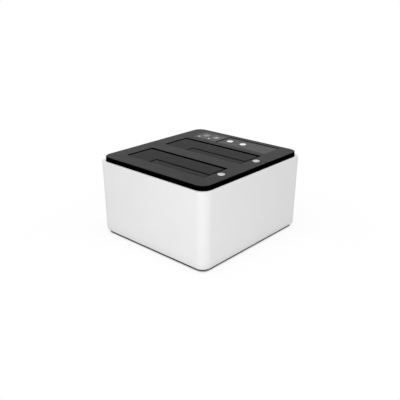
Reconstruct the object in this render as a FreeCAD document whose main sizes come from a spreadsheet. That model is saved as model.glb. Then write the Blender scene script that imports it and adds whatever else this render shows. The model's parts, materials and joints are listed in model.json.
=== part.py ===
import FreeCAD, Part
import math
import os
import Sketcher

# Two-bay drive duplicator, in millimetres: +X to its right, +Y to its rear, +Z up.
# The origin is at the centre of its plan, on the surface that its feet stand on.

SIZES = {
    # drive bays in the top cover
    "bay_width": 104.0,         # room for a 3.5 inch drive, with play
    "bay_depth": 35.0,
    "bay_pitch": 53.5,          # front bay to rear bay
    "side_margin": 20.5,        # from a bay's end to the shell's side
    "front_margin": 22.0,       # from the front bay to the shell's front
    "strip_depth": 44.5,        # from the rear bay to the shell's rear
    # housing
    "foot_rise": 1.6,
    "shell_bottom": 3.0,
    "shell_top": 80.1,
    "corner_radius": 10.2,
    "shell_wall": 2.5,
    "rim_gap": 0.4,             # between the shell's wall and the cover
    "cover_radius": 10.0,
    "cover_rise": 4.8,          # how far the cover stands above the shell
    "plate_thick": 2.2,
    "skirt_wall": 2.0,
    "skirt_depth": 8.9,
    "ledge_width": 2.6,
    "ledge_thick": 1.6,
    "edge_round": 0.9,
    "bay_round": 0.8,
    "bay_bevel": 0.25,
    "panel_round": 0.8,
    "rim_round": 0.4,
    "foot_flat": 0.3,           # level ring left inside the shell's rounded foot
    # base
    "lip_inset": 1.8,
    "floor_thick": 2.4,
    "spigot_gap": 0.3,
    "spigot_wall": 1.8,
    "spigot_rise": 6.0,
    "post_inset": 11.0,         # screw posts, in from the shell's sides
    "post_radius": 3.5,
    "post_screw_radius": 1.5,
    "screw_head_radius": 2.8,
    "screw_head_height": 1.6,
    "screw_clearance": 0.2,
    "post_thread_depth": 12.0,
    "post_screw_length": 12.5,
    "seat_rise": 1.5,           # boss that each post stands on
    "seat_radius": 4.6,
    "foot_radius": 6.0,
    "foot_recess": 0.8,
    "foot_gap": 0.1,
    "foot_chamfer": 0.5,
    "foot_inset_x": 22.0,
    "foot_inset_y": 20.0,
    "vent_width": 2.6,
    "vent_round": 1.0,
    "vent_length": 34.0,
    "vent_pitch": 8.0,
    "vent_count": 7,
    # bay wells
    "well_wall": 1.6,
    "well_floor": 17.2,         # underside of the wells' floors
    "rail_height": 5.2,
    "rail_thick": 3.4,
    "ear_thick": 2.0,
    "ear_centre": 3.8,          # screw centre, out from the well's wall
    "ear_boss_height": 5.0,
    "ear_boss_radius": 2.6,
    "boss_roof": 0.8,
    "small_screw_radius": 1.1,
    "small_head_radius": 2.1,
    "small_head_height": 1.4,
    "board_screw_depth": 4.0,
    "screw_end_gap": 0.4,
    "thread_gap": 0.02,         # fixed pin or screw to its hole
    "pin_end": 0.4,
    "spring_room": 8.0,
    "ear_spread": 24.0,
    # large drive doors
    "door_gap": 0.4,            # at the edges that face front
    "door_side_gap": 2.0,
    "door_rear_gap": 3.0,       # the hinge necks pass here
    "door_drop": 0.3,           # how deep the doors lie below the cover's top
    "door_thick": 1.8,
    "door_pin_radius": 1.0,
    "door_knuckle_radius": 1.75,
    "door_hinge_set": 1.4,      # hinge axis beyond the bay's edge
    "hinge_gap": 0.3,           # knuckles to the cover's underside
    "knuckle_width": 10.0,
    "knuckle_inset": 6.0,
    "knuckle_play": 0.5,
    "running_gap": 0.05,        # pin to turning bore, on the radius
    "stop_gap": 0.1,            # door to its stop under the cover
    "door_rib_height": 0.9,
    "door_rib_width": 1.2,
    "door_round": 0.3,
    "rib_setback": 8.0,
    "rib_end_gap": 1.5,
    # small flaps
    "flap_width": 69.0,
    "flap_depth": 8.4,
    "flap_gap": 2.2,            # between a flap and the drive door round it
    "flap_side_gap": 1.0,
    "flap_drop": 0.2,
    "flap_slope": 1.0,          # degrees, falling towards the rear
    "flap_thick": 1.4,
    "flap_pin_radius": 0.8,
    "flap_knuckle_radius": 1.4,
    "flap_hinge_set": 1.2,
    "neck_reach": 2.2,
    # torsion springs on the hinge pins
    "coil_wire_radius": 0.28,
    "coil_turns": 8,
    "coil_pitch": 0.7,
    "coil_start": 1.0,          # from the window's end to the first turn
    "coil_gap": 0.12,
    # eject works
    "eject_gap": 6.5,           # from a bay's end to its eject button
    "button_radius": 3.75,
    "button_rise": 0.4,
    "button_gap": 0.25,
    "button_round": 0.5,
    "eject_travel": 3.5,        # until the collar lands on its cup
    "cup_gap": 0.2,             # spring to its cup
    "rod_radius": 2.5,
    "collar_radius": 4.7,
    "collar_height": 2.0,
    "collar_gap": 0.3,
    "guide_thick": 3.0,
    "guide_top": 67.0,
    "guide_low": 25.0,
    "guide_width": 10.0,
    "guide_gap": 0.08,
    "spring_radius": 3.4,
    "spring_wire_radius": 0.3,
    "spring_turns": 5,
    "pivot_height": 14.0,
    "outer_arm": 8.5,           # lever pivot to eject rod
    "inner_arm": 12.5,          # lever pivot to lifting toe
    "lever_thick": 2.8,
    "lever_width": 5.0,
    "lever_hub_radius": 2.5,
    "lever_pin_radius": 1.0,
    "toe_width": 12.0,
    "toe_shift": 1.5,           # rear of the lever's middle
    "toe_length": 3.0,
    "toe_drop": 0.2,            # toe below the well's floor at rest
    "rod_rest_gap": 0.35,
    "bracket_thick": 1.8,
    "bracket_gap": 0.25,
    "toe_slot_near": 3.2,
    # control strip
    "panel_width": 67.0,
    "panel_depth": 26.0,
    "panel_drop": 0.65,
    "panel_thick": 0.9,
    "panel_backing": 1.2,       # extra cover thickness under the panel
    "panel_gap": 0.15,
    "panel_right_inset": 1.7,
    "control_inset": 23.2,      # control buttons, in from the shell's rear
    "mode_inset": 10.8,         # left button, in from the panel's left edge
    "control_pitch": 17.8,
    "control_rise": 0.7,
    "control_travel": 0.5,
    "control_stem_radius": 1.75,
    "control_flange": 1.2,
    "lamp_pitch": 14.3,
    "lamp_gap": 14.6,           # right lamp, out from the panel's left edge
    "lamp_inset": 30.0,
    "lamp_radius": 1.35,
    "lamp_flange": 0.8,
    "lamp_height": 1.8,
    "lens_gap": 0.1,
    "board_thick": 1.6,
    "control_board_drop": 9.1,  # under the cover's plate
    "control_board_left": 8.4,  # left of the left lamp
    "control_board_right": 14.0,
    "control_board_front": 35.5,
    "control_board_depth": 20.5,
    "control_boss_radius": 2.5,
    "control_boss_inset": 3.0,
    "switch_size": 6.0,
    "switch_height": 3.5,
    "plunger_radius": 1.6,
    "plunger_height": 1.0,
    # main board and what stands on it
    "board_height": 9.0,
    "board_left_inset": 18.5,
    "board_front_inset": 15.5,
    "board_rear_inset": 5.0,
    "board_right_gap": 5.0,     # from the lever pivots to the board
    "standoff_radius": 3.0,
    "board_screw_inset": 4.5,
    "socket_width": 45.0,
    "socket_depth": 8.6,
    "socket_height": 14.4,
    "socket_setback": 6.5,      # from a bay's front wall
    "socket_right": 21.1,       # centre line, right of the duplicator's middle
    "socket_window_gap": 0.5,
    "tongue_thick": 1.2,
    "tongue_gap_wall": 1.2,
    "tongue_drop": 1.0,
    "data_tongue": 10.0,
    "power_tongue": 20.6,
    "tongue_split": 2.4,
    "tongue_depth": 5.5,
    # rear ports
    "window_left": -46.0,
    "window_width": 68.0,
    "window_bottom": 10.6,
    "window_height": 17.0,
    "window_round": 1.5,
    "port_recess": 1.5,
    "port_overlap": 1.2,
    "port_flange": 1.8,
    "port_gap": 0.25,
    "switch_x": -33.0,
    "jack_x": -12.0,
    "usb_x": 10.0,
    "usb_width": 12.0,
    "usb_height": 10.8,
    "usb_length": 17.0,
    "usb_wall": 0.5,
    "usb_tongue_width": 5.6,
    "usb_tongue_height": 3.2,
    "usb_back": 6.0,
    "jack_width": 9.0,
    "jack_height": 11.0,
    "jack_length": 14.0,
    "jack_bore_radius": 2.75,
    "jack_pin_radius": 1.05,
    "jack_bore_depth": 9.5,
    "rocker_width": 8.6,
    "rocker_length": 14.0,
    "rocker_tilt": 8.0,         # degrees to each side
    "rocker_play": 0.35,
    "rocker_set": 3.3,          # rocker axis behind the plate's face
    "rocker_base": 1.2,
    "rocker_room": 1.05,        # behind the rocker's base
    "rocker_crest": 3.6,
    "rocker_valley": 0.9,
    "trunnion_radius": 1.0,
    "trunnion_bite": 0.8,
    "switch_frame": 1.4,
    "switch_body_depth": 11.0,
    # small electronics
    "ribbon_gap": 14.1,         # left of the left button
    "ribbon_inset": 30.5,
    "ribbon_width": 10.0,
    "ribbon_thick": 0.9,
    "connector_width": 13.0,
    "connector_depth": 5.4,
    "connector_height": 6.0,
    "chip_size": 12.0,
    "chip_thick": 1.4,
    "chip_x": 10.0,
    "capacitor_x": -42.0,
    "capacitor_radius": 4.0,
    "capacitor_height": 11.0,
    "capacitor_pitch": 12.0,
}


class Size:
    """A number together with the sheet expression that gives it."""

    def __init__(self, number, text):
        self.number = number
        self.text = text

    def __neg__(self):
        return Size(-self.number, f"(-{self.text})")

    def __add__(self, other):
        other = as_size(other)
        return Size(self.number + other.number, f"({self.text} + {other.text})")

    def __sub__(self, other):
        other = as_size(other)
        return Size(self.number - other.number, f"({self.text} - {other.text})")

    def __mul__(self, other):
        other = as_size(other)
        return Size(self.number * other.number, f"({self.text} * {other.text})")

    def __truediv__(self, other):
        other = as_size(other)
        return Size(self.number / other.number, f"({self.text} / {other.text})")


class Sheet:
    """The driving sizes, each an attribute that knows its cell."""

    def __init__(self, document, table):
        cells = document.addObject("Spreadsheet::Sheet", "Sizes")
        for row, (name, number) in enumerate(table.items(), start=1):
            cells.set(f"A{row}", name.replace("_", " "))
            cells.set(f"B{row}", str(number))
            cells.setAlias(f"B{row}", name)
            setattr(self, name, Size(number, f"Sizes.{name}"))


def as_size(value):
    """Take a Size as it is, and a plain number as a constant."""
    return value if isinstance(value, Size) else Size(float(value), f"({float(value)})")


def tangent(angle):
    """Tangent of an angle in degrees."""
    return Size(math.tan(math.radians(angle.number)), f"tan({angle.text})")


doc = FreeCAD.newDocument("DriveDuplicator")
s = Sheet(doc, SIZES)
doc.recompute()
NODES = []
TOUCH = 1e-3                    # two lengths this near are the same

# ---- places worked out from the sizes ----

ZERO = as_size(0)
half_width = s.bay_width / 2 + s.side_margin
half_depth = (s.front_margin + s.bay_depth + s.bay_pitch + s.strip_depth) / 2
bay_end = s.bay_width / 2
bay_edge = s.bay_depth / 2
front_bay_y = s.front_margin + bay_edge - half_depth
BAYS = {"front": front_bay_y, "rear": front_bay_y + s.bay_pitch}

top = s.shell_top + s.cover_rise
under = top - s.plate_thick
cover_x = half_width - s.shell_wall - s.rim_gap
cover_y = half_depth - s.shell_wall - s.rim_gap
rim_radius = s.cover_radius + s.rim_gap
skirt_foot = top - s.skirt_depth

floor_top = s.foot_rise + s.floor_thick
seat_top = floor_top + s.seat_rise
post_x = half_width - s.post_inset
post_y = half_depth - s.post_inset

well_x = bay_end + s.well_wall
well_y = bay_edge + s.well_wall
well_floor_top = s.well_floor + s.well_wall
ear_x = well_x + s.ear_centre
ear_y = s.ear_spread / 2
ear_boss_foot = under - s.ear_boss_height

door_top = top - s.door_drop
door_bottom = door_top - s.door_thick
door_axis_y = bay_edge + s.door_hinge_set
door_rear = bay_edge - s.door_rear_gap
door_axis_z = under - s.hinge_gap - s.door_knuckle_radius
door_window_foot = door_axis_z - s.door_hinge_set - s.door_rear_gap - s.knuckle_play
door_x = bay_end - s.door_side_gap
knuckle_out = door_x - s.knuckle_inset
knuckle_in = knuckle_out - s.knuckle_width

flap_right = bay_end - s.flap_side_gap
flap_left = flap_right - s.flap_width
flap_x = flap_right - s.flap_width / 2
flap_front = s.door_gap - bay_edge
flap_rear = flap_front + s.flap_depth
flap_top = top - s.flap_drop
flap_axis_y = -(bay_edge + s.flap_hinge_set)
flap_axis_z = under - s.hinge_gap - s.flap_knuckle_radius
flap_window_foot = flap_axis_z - s.flap_hinge_set - s.neck_reach - s.knuckle_play
flap_knuckle_out = s.flap_width / 2 - s.knuckle_inset
flap_knuckle_in = flap_knuckle_out - s.knuckle_width

eject_x = bay_end + s.eject_gap
pivot_x = eject_x - s.outer_arm
collar_top = under - s.collar_gap
collar_foot = collar_top - s.collar_height
rod_tip = s.pivot_height + s.lever_thick / 2 + s.rod_rest_gap

control_y = half_depth - s.control_inset
panel_top = top - s.panel_drop
panel_foot = panel_top - s.panel_thick
panel_right = bay_end - s.panel_right_inset
panel_x = panel_right - s.panel_width / 2
panel_left = panel_right - s.panel_width
mode_x = panel_left + s.mode_inset
start_x = mode_x + s.control_pitch
lamp_right_x = panel_left - s.lamp_gap
lamp_left_x = lamp_right_x - s.lamp_pitch
ribbon_x = mode_x - s.ribbon_gap
lamp_y = half_depth - s.lamp_inset
control_board_top = under - s.control_board_drop
control_board_foot = control_board_top - s.board_thick
plunger_top = control_board_top + s.switch_height + s.plunger_height

board_left = s.board_left_inset - half_width
board_right = pivot_x - s.board_right_gap
board_front = s.board_front_inset - half_depth
board_rear = half_depth - s.board_rear_inset
board_top = s.board_height + s.board_thick
socket_y = s.socket_setback - bay_edge

port_inner = half_depth - s.shell_wall
port_face = half_depth - s.port_recess
window_top = s.window_bottom + s.window_height
window_right = s.window_left + s.window_width
window_z = s.window_bottom + s.window_height / 2


# ---- tools for sketches, features and solids ----

def bind(thing, path, size):
    """Tie a property to the sheet."""
    thing.setExpression(path, as_size(size).text)


def new_body(label, x=ZERO, y=ZERO, z=ZERO):
    """Start a named body with its origin at a place."""
    body = doc.addObject("PartDesign::Body", label)
    body.Label = label
    bind(body, "Placement.Base.x", x)
    bind(body, "Placement.Base.y", y)
    bind(body, "Placement.Base.z", z)
    NODES.append(body)
    return body


def sketch_on(body, plane, level):
    """Start a sketch parallel to a plane of the body's origin, at a level along its axis.

    XY sketches look up along +Z and YZ sketches along +X. XZ sketches look along -Y.
    """
    sketch = body.newObject("Sketcher::SketchObject", body.Name + "_sketch")
    origin_plane = next(item for item in body.Origin.OriginFeatures if item.Role == plane + "_Plane")
    sketch.AttachmentSupport = [(origin_plane, "")]
    sketch.MapMode = "FlatFace"
    level = as_size(level)
    bind(sketch, "AttachmentOffset.Base.z", -level if plane == "XZ" else level)
    return sketch


def constrain(sketch, rules):
    """Add constraints, given as (constraint, the size it is tied to or None)."""
    indices = sketch.addConstraint([rule for rule, size in rules])
    for index, (rule, size) in zip(indices, rules):
        if size is not None:
            bind(sketch, f"Constraints[{index}]", size)


def outline(sketch, corners):
    """Draw a closed outline with level and upright sides through (x, y) or (x, y, round) corners."""
    count = len(corners)
    places = [FreeCAD.Vector(corner[0].number, corner[1].number, 0) for corner in corners]
    rounds = [corner[2] if len(corner) > 2 else ZERO for corner in corners]
    ways = [(places[(i + 1) % count] - places[i]).normalize() for i in range(count)]
    rules = []
    lines = []
    for i in range(count):
        start = places[i] + ways[i] * rounds[i].number
        end = places[(i + 1) % count] - ways[i] * rounds[(i + 1) % count].number
        line = sketch.addGeometry(Part.LineSegment(start, end), False)
        lines.append(line)
        if abs(ways[i].x) > abs(ways[i].y):
            rules.append((Sketcher.Constraint("Horizontal", line), None))
            rules.append((Sketcher.Constraint("DistanceY", line, 1, places[i].y), corners[i][1]))
        else:
            rules.append((Sketcher.Constraint("Vertical", line), None))
            rules.append((Sketcher.Constraint("DistanceX", line, 1, places[i].x), corners[i][0]))
    for i in range(count):
        before = lines[i - 1]
        after = lines[i]
        if rounds[i] is ZERO:
            rules.append((Sketcher.Constraint("Coincident", before, 2, after, 1), None))
            continue
        radius = rounds[i].number
        centre = places[i] - ways[i - 1] * radius + ways[i] * radius
        ends = [places[i] - ways[i - 1] * radius - centre, places[i] + ways[i] * radius - centre]
        joints = [(before, 2), (after, 1)]
        if ways[i - 1].cross(ways[i]).z < 0:
            ends.reverse()
            joints.reverse()
        first = math.atan2(ends[0].y, ends[0].x)
        last = math.atan2(ends[1].y, ends[1].x)
        circle_line = Part.Circle(centre, FreeCAD.Vector(0, 0, 1), radius)
        arc = sketch.addGeometry(Part.ArcOfCircle(circle_line, first, last), False)
        rules.append((Sketcher.Constraint("Tangent", joints[0][0], joints[0][1], arc, 1), None))
        rules.append((Sketcher.Constraint("Tangent", joints[1][0], joints[1][1], arc, 2), None))
        rules.append((Sketcher.Constraint("Radius", arc, radius), rounds[i]))
    constrain(sketch, rules)


def rectangle(sketch, x_range, y_range, radius=ZERO):
    """Draw a rectangle between two x and two y values."""
    left, right = x_range
    low, high = y_range
    outline(sketch, [(left, low, radius), (right, low, radius), (right, high, radius), (left, high, radius)])


def polygon(sketch, corners):
    """Draw a closed outline with straight sides of any slope."""
    places = [FreeCAD.Vector(x.number, y.number, 0) for x, y in corners]
    rules = []
    lines = []
    for i, (x, y) in enumerate(corners):
        line = sketch.addGeometry(Part.LineSegment(places[i], places[(i + 1) % len(places)]), False)
        lines.append(line)
        rules.append((Sketcher.Constraint("DistanceX", line, 1, x.number), x))
        rules.append((Sketcher.Constraint("DistanceY", line, 1, y.number), y))
    for i, line in enumerate(lines):
        rules.append((Sketcher.Constraint("Coincident", lines[i - 1], 2, line, 1), None))
    constrain(sketch, rules)


def circle(sketch, x, y, radius):
    """Draw a circle."""
    centre = FreeCAD.Vector(x.number, y.number, 0)
    line = sketch.addGeometry(Part.Circle(centre, FreeCAD.Vector(0, 0, 1), radius.number), False)
    constrain(sketch, [
        (Sketcher.Constraint("Radius", line, radius.number), radius),
        (Sketcher.Constraint("DistanceX", line, 3, x.number), x),
        (Sketcher.Constraint("DistanceY", line, 3, y.number), y),
    ])


def grow(body, kind, sketch, length, back=False):
    """Add a Pad or Pocket to a body and make sure that it changes the solid."""
    before = body.Shape.Volume if body.Tip else 0.0
    feature = body.newObject("PartDesign::" + kind, body.Name + "_" + kind.lower())
    feature.Profile = sketch
    feature.Reversed = back
    bind(feature, "Length", length)
    doc.recompute()
    if abs(body.Shape.Volume - before) < 1e-4:
        raise RuntimeError(f"{body.Label}: a {kind} changes nothing")
    return feature


def pad(body, sketch, length, back=False):
    """Extend a sketch the way that it looks."""
    return grow(body, "Pad", sketch, length, back)


def pocket(body, sketch, length, back=False):
    """Cut a sketch against the way that it looks."""
    return grow(body, "Pocket", sketch, length, back)


def revolve(body, corners):
    """Turn a half profile, given as (radius, z) corners, about the body's Z axis."""
    sketch = sketch_on(body, "XZ", ZERO)
    polygon(sketch, corners)
    feature = body.newObject("PartDesign::Revolution", body.Name + "_revolution")
    feature.Profile = sketch
    feature.ReferenceAxis = (sketch, ["V_Axis"])
    feature.Angle = 360
    doc.recompute()


def mirror_left_right(body, features):
    """Repeat features on the other side of the body's middle."""
    mirrored = body.newObject("PartDesign::Mirrored", body.Name + "_mirrored")
    plane = next(item for item in body.Origin.OriginFeatures if item.Role == "YZ_Plane")
    mirrored.Originals = features
    mirrored.MirrorPlane = (plane, [""])
    body.Tip = mirrored
    doc.recompute()


def dress(body, kind, property_name, size, wanted):
    """Fillet or chamfer the edges of a body that a test picks."""
    doc.recompute()
    base = body.Tip
    names = [f"Edge{i}" for i, edge in enumerate(base.Shape.Edges, start=1) if wanted(edge)]
    if not names:
        raise RuntimeError(f"{body.Label}: no edge to round")
    feature = body.newObject("PartDesign::" + kind, body.Name + "_" + kind.lower())
    feature.Base = (base, names)
    bind(feature, property_name, size)
    doc.recompute()


def level_edges(height, inside=None):
    """A test for edges that lie level at a height, all within an optional (x, y) half size."""
    def wanted(edge):
        bounds = edge.BoundBox
        level = abs(bounds.ZMin - height.number) < 1e-4 and abs(bounds.ZMax - height.number) < 1e-4
        return level and (inside is None or inside(bounds))
    return wanted


def beyond(x, y):
    """A test for edges that reach a half width or a half depth of an outline."""
    def reaches(bounds):
        wide = max(abs(bounds.XMin), abs(bounds.XMax)) > x.number - TOUCH
        deep = max(abs(bounds.YMin), abs(bounds.YMax)) > y.number - TOUCH
        return wide or deep
    return reaches


def place(solid, x, y, z):
    """Tie a solid's place to the sheet."""
    bind(solid, "Placement.Base.x", x)
    bind(solid, "Placement.Base.y", y)
    bind(solid, "Placement.Base.z", z)


def box(x_range, y_range, z_range):
    """A box between pairs of x, y and z values."""
    solid = doc.addObject("Part::Box", "Box")
    bind(solid, "Length", x_range[1] - x_range[0])
    bind(solid, "Width", y_range[1] - y_range[0])
    bind(solid, "Height", z_range[1] - z_range[0])
    place(solid, x_range[0], y_range[0], z_range[0])
    return solid


TURNS = {
    "x": FreeCAD.Rotation(FreeCAD.Vector(0, 1, 0), 90),
    "y": FreeCAD.Rotation(FreeCAD.Vector(1, 0, 0), -90),
    "z": FreeCAD.Rotation(),
}


def cylinder(start, radius, length, axis="z"):
    """A cylinder that runs from its start point along an axis."""
    solid = doc.addObject("Part::Cylinder", "Cylinder")
    solid.Placement = FreeCAD.Placement(FreeCAD.Vector(), TURNS[axis])
    bind(solid, "Radius", radius)
    bind(solid, "Height", length)
    place(solid, *start)
    return solid


def fused(parts):
    """Join solids into one."""
    joined = doc.addObject("Part::MultiFuse", "Joined")
    joined.Shapes = parts
    return joined


def without(base, tools):
    """Cut solids out of a base."""
    result = doc.addObject("Part::Cut", "Cut")
    result.Base = base
    result.Tool = tools[0] if len(tools) == 1 else fused(tools)
    return result


def grouped(parts):
    """Keep several solids together without joining them."""
    group = doc.addObject("Part::Compound", "Group")
    group.Links = parts
    return group


def node(label, solid):
    """Name a finished sub-part."""
    solid.Label = label
    NODES.append(solid)
    return solid


def both(x, y):
    """The four points at plus and minus x and y."""
    return [(side_x, side_y) for side_x in (-x, x) for side_y in (-y, y)]


# ---- housing ----

def make_shell():
    """Rounded sleeve with a ledge for the cover and a window for the rear ports."""
    body = new_body("outer_shell")
    sketch = sketch_on(body, "XY", s.shell_bottom)
    rectangle(sketch, (-half_width, half_width), (-half_depth, half_depth), s.corner_radius)
    inner_x = half_width - s.shell_wall
    inner_y = half_depth - s.shell_wall
    rectangle(sketch, (-inner_x, inner_x), (-inner_y, inner_y), rim_radius)
    pad(body, sketch, s.shell_top - s.shell_bottom)

    sketch = sketch_on(body, "XY", skirt_foot - s.ledge_thick)
    rectangle(sketch, (-inner_x, inner_x), (-inner_y, inner_y), rim_radius)
    open_x = inner_x - s.ledge_width
    open_y = inner_y - s.ledge_width
    rectangle(sketch, (-open_x, open_x), (-open_y, open_y), rim_radius - s.ledge_width)
    pad(body, sketch, s.ledge_thick)

    sketch = sketch_on(body, "XZ", half_depth - s.shell_wall * 2)
    rectangle(sketch, (s.window_left, window_right), (s.window_bottom, window_top), s.window_round)
    pocket(body, sketch, s.shell_wall * 3)
    outer = beyond(half_width, half_depth)
    dress(body, "Fillet", "Radius", s.rim_round, level_edges(s.shell_top, outer))
    dress(body, "Fillet", "Radius", s.shell_wall - s.foot_flat, level_edges(s.shell_bottom, outer))


def control_board_bosses():
    """Centres of the four bosses that carry the control board."""
    left = lamp_left_x - s.control_board_left + s.control_boss_inset
    right = start_x + s.control_board_right - s.control_boss_inset
    front = half_depth - s.control_board_front + s.control_boss_inset
    rear = front + s.control_board_depth - s.control_boss_inset * 2
    return [(x, y) for x in (left, right) for y in (front, rear)]


def bay_rim(bounds):
    """Tell whether an edge lies on the rim of a bay opening."""
    reach_x = bay_end.number + TOUCH
    reach_y = bay_edge.number + TOUCH
    middle_y = (bounds.YMin + bounds.YMax) / 2
    across = -reach_x < bounds.XMin and bounds.XMax < reach_x
    return across and any(abs(middle_y - bay_y.number) < reach_y for bay_y in BAYS.values())


def make_cover():
    """Flat top with a skirt, the two bay openings, the control recess and every boss below."""
    body = new_body("top_cover")
    sketch = sketch_on(body, "XY", under)
    rectangle(sketch, (-cover_x, cover_x), (-cover_y, cover_y), s.cover_radius)
    pad(body, sketch, s.plate_thick)

    sketch = sketch_on(body, "XY", skirt_foot)
    rectangle(sketch, (-cover_x, cover_x), (-cover_y, cover_y), s.cover_radius)
    inner_x = cover_x - s.skirt_wall
    inner_y = cover_y - s.skirt_wall
    rectangle(sketch, (-inner_x, inner_x), (-inner_y, inner_y), s.cover_radius - s.skirt_wall)
    pad(body, sketch, s.skirt_depth - s.plate_thick)

    sketch = sketch_on(body, "XY", seat_top)
    for x, y in both(post_x, post_y):
        circle(sketch, x, y, s.post_radius)
    pad(body, sketch, under - seat_top)
    sketch = sketch_on(body, "XY", seat_top)
    for x, y in both(post_x, post_y):
        circle(sketch, x, y, s.post_screw_radius)
    pocket(body, sketch, s.post_thread_depth, back=True)

    sketch = sketch_on(body, "XY", ear_boss_foot)
    for bay_y in BAYS.values():
        for x, y in both(ear_x, ear_y):
            circle(sketch, x, bay_y + y, s.ear_boss_radius)
    pad(body, sketch, s.ear_boss_height)
    sketch = sketch_on(body, "XY", ear_boss_foot)
    for bay_y in BAYS.values():
        for x, y in both(ear_x, ear_y):
            circle(sketch, x, bay_y + y, s.small_screw_radius)
    pocket(body, sketch, s.ear_boss_height - s.boss_roof, back=True)

    sketch = sketch_on(body, "XY", control_board_top)
    for x, y in control_board_bosses():
        circle(sketch, x, y, s.control_boss_radius)
    pad(body, sketch, under - control_board_top)
    sketch = sketch_on(body, "XY", control_board_top)
    for x, y in control_board_bosses():
        circle(sketch, x, y, s.small_screw_radius)
    pocket(body, sketch, s.board_screw_depth, back=True)

    sketch = sketch_on(body, "XY", under - s.panel_backing)
    reach_x = s.panel_width / 2 + s.panel_backing
    reach_y = s.panel_depth / 2 + s.panel_backing
    rectangle(sketch, (panel_x - reach_x, panel_x + reach_x), (control_y - reach_y, control_y + reach_y))
    pad(body, sketch, s.panel_backing)

    sketch = sketch_on(body, "XY", top)
    half_x = s.panel_width / 2
    half_y = s.panel_depth / 2
    rectangle(sketch, (panel_x - half_x, panel_x + half_x), (control_y - half_y, control_y + half_y),
              s.panel_round)
    pocket(body, sketch, s.panel_drop + s.panel_thick)

    sketch = sketch_on(body, "XY", top)
    for bay_y in BAYS.values():
        rectangle(sketch, (-bay_end, bay_end), (bay_y - bay_edge, bay_y + bay_edge), s.bay_round)
        circle(sketch, eject_x, bay_y, s.button_radius + s.button_gap)
    for x in (mode_x, start_x):
        circle(sketch, x, control_y, s.button_radius + s.button_gap)
    for x in (lamp_left_x, lamp_right_x):
        circle(sketch, x, lamp_y, s.lamp_radius + s.lens_gap)
    pocket(body, sketch, s.plate_thick + s.panel_backing)
    dress(body, "Fillet", "Radius", s.edge_round, level_edges(top, beyond(cover_x, cover_y)))
    dress(body, "Chamfer", "Size", s.bay_bevel, level_edges(top, bay_rim))


def board_holes():
    """Centres of the four screws of the main board."""
    xs = (board_left + s.board_screw_inset, board_right - s.board_screw_inset)
    ys = (board_front + s.board_screw_inset, board_rear - s.board_screw_inset)
    return [(x, y) for x in xs for y in ys]


def make_base():
    """Floor with a lip under the shell, a spigot inside it, standoffs, screw seats and vents."""
    body = new_body("base_plate")
    sketch = sketch_on(body, "XY", s.foot_rise)
    lip_x = half_width - s.lip_inset
    lip_y = half_depth - s.lip_inset
    rectangle(sketch, (-lip_x, lip_x), (-lip_y, lip_y), rim_radius + s.shell_wall - s.lip_inset)
    pad(body, sketch, s.shell_bottom - s.foot_rise)

    inset = s.shell_wall + s.spigot_gap
    out_x = half_width - inset
    out_y = half_depth - inset
    out_radius = rim_radius - s.spigot_gap
    sketch = sketch_on(body, "XY", s.shell_bottom)
    rectangle(sketch, (-out_x, out_x), (-out_y, out_y), out_radius)
    pad(body, sketch, floor_top - s.shell_bottom)
    sketch = sketch_on(body, "XY", floor_top)
    rectangle(sketch, (-out_x, out_x), (-out_y, out_y), out_radius)
    in_x = out_x - s.spigot_wall
    in_y = out_y - s.spigot_wall
    rectangle(sketch, (-in_x, in_x), (-in_y, in_y), out_radius - s.spigot_wall)
    pad(body, sketch, s.shell_bottom + s.spigot_rise - floor_top)

    sketch = sketch_on(body, "XY", floor_top)
    for x, y in both(post_x, post_y):
        circle(sketch, x, y, s.seat_radius)
    pad(body, sketch, s.seat_rise)
    sketch = sketch_on(body, "XY", floor_top)
    for x, y in board_holes():
        circle(sketch, x, y, s.standoff_radius)
    pad(body, sketch, s.board_height - floor_top)
    sketch = sketch_on(body, "XY", s.board_height)
    for x, y in board_holes():
        circle(sketch, x, y, s.small_screw_radius)
    pocket(body, sketch, s.board_screw_depth)

    sketch = sketch_on(body, "XY", s.foot_rise)
    for x, y in both(post_x, post_y):
        circle(sketch, x, y, s.screw_head_radius + s.screw_clearance)
    pocket(body, sketch, s.screw_head_height + s.screw_clearance, back=True)
    sketch = sketch_on(body, "XY", s.foot_rise)
    for x, y in both(post_x, post_y):
        circle(sketch, x, y, s.post_screw_radius + s.screw_clearance)
    pocket(body, sketch, seat_top - s.foot_rise, back=True)
    sketch = sketch_on(body, "XY", s.foot_rise)
    for x, y in both(half_width - s.foot_inset_x, half_depth - s.foot_inset_y):
        circle(sketch, x, y, s.foot_radius)
    pocket(body, sketch, s.foot_recess, back=True)

    sketch = sketch_on(body, "XY", floor_top)
    first_x = s.vent_pitch * (s.vent_count - 1) / -2
    rectangle(sketch, (first_x - s.vent_width / 2, first_x + s.vent_width / 2),
              (-s.vent_length / 2, s.vent_length / 2), s.vent_round)
    slot = pocket(body, sketch, s.floor_thick)
    pattern = body.newObject("PartDesign::LinearPattern", "vents")
    pattern.Originals = [slot]
    pattern.Direction = (sketch, ["H_Axis"])
    pattern.Mode = "Spacing"
    bind(pattern, "Offset", s.vent_pitch)
    bind(pattern, "Occurrences", s.vent_count)
    body.Tip = pattern
    doc.recompute()


def make_feet():
    """Four round rubber feet, a little smaller at the bottom."""
    body = new_body("rubber_feet")
    sketch = sketch_on(body, "XY", s.foot_rise + s.foot_recess)
    for x, y in both(half_width - s.foot_inset_x, half_depth - s.foot_inset_y):
        circle(sketch, x, y, s.foot_radius - s.foot_gap)
    pad(body, sketch, s.foot_rise + s.foot_recess, back=True)
    dress(body, "Chamfer", "Size", s.foot_chamfer, level_edges(ZERO))


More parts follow.
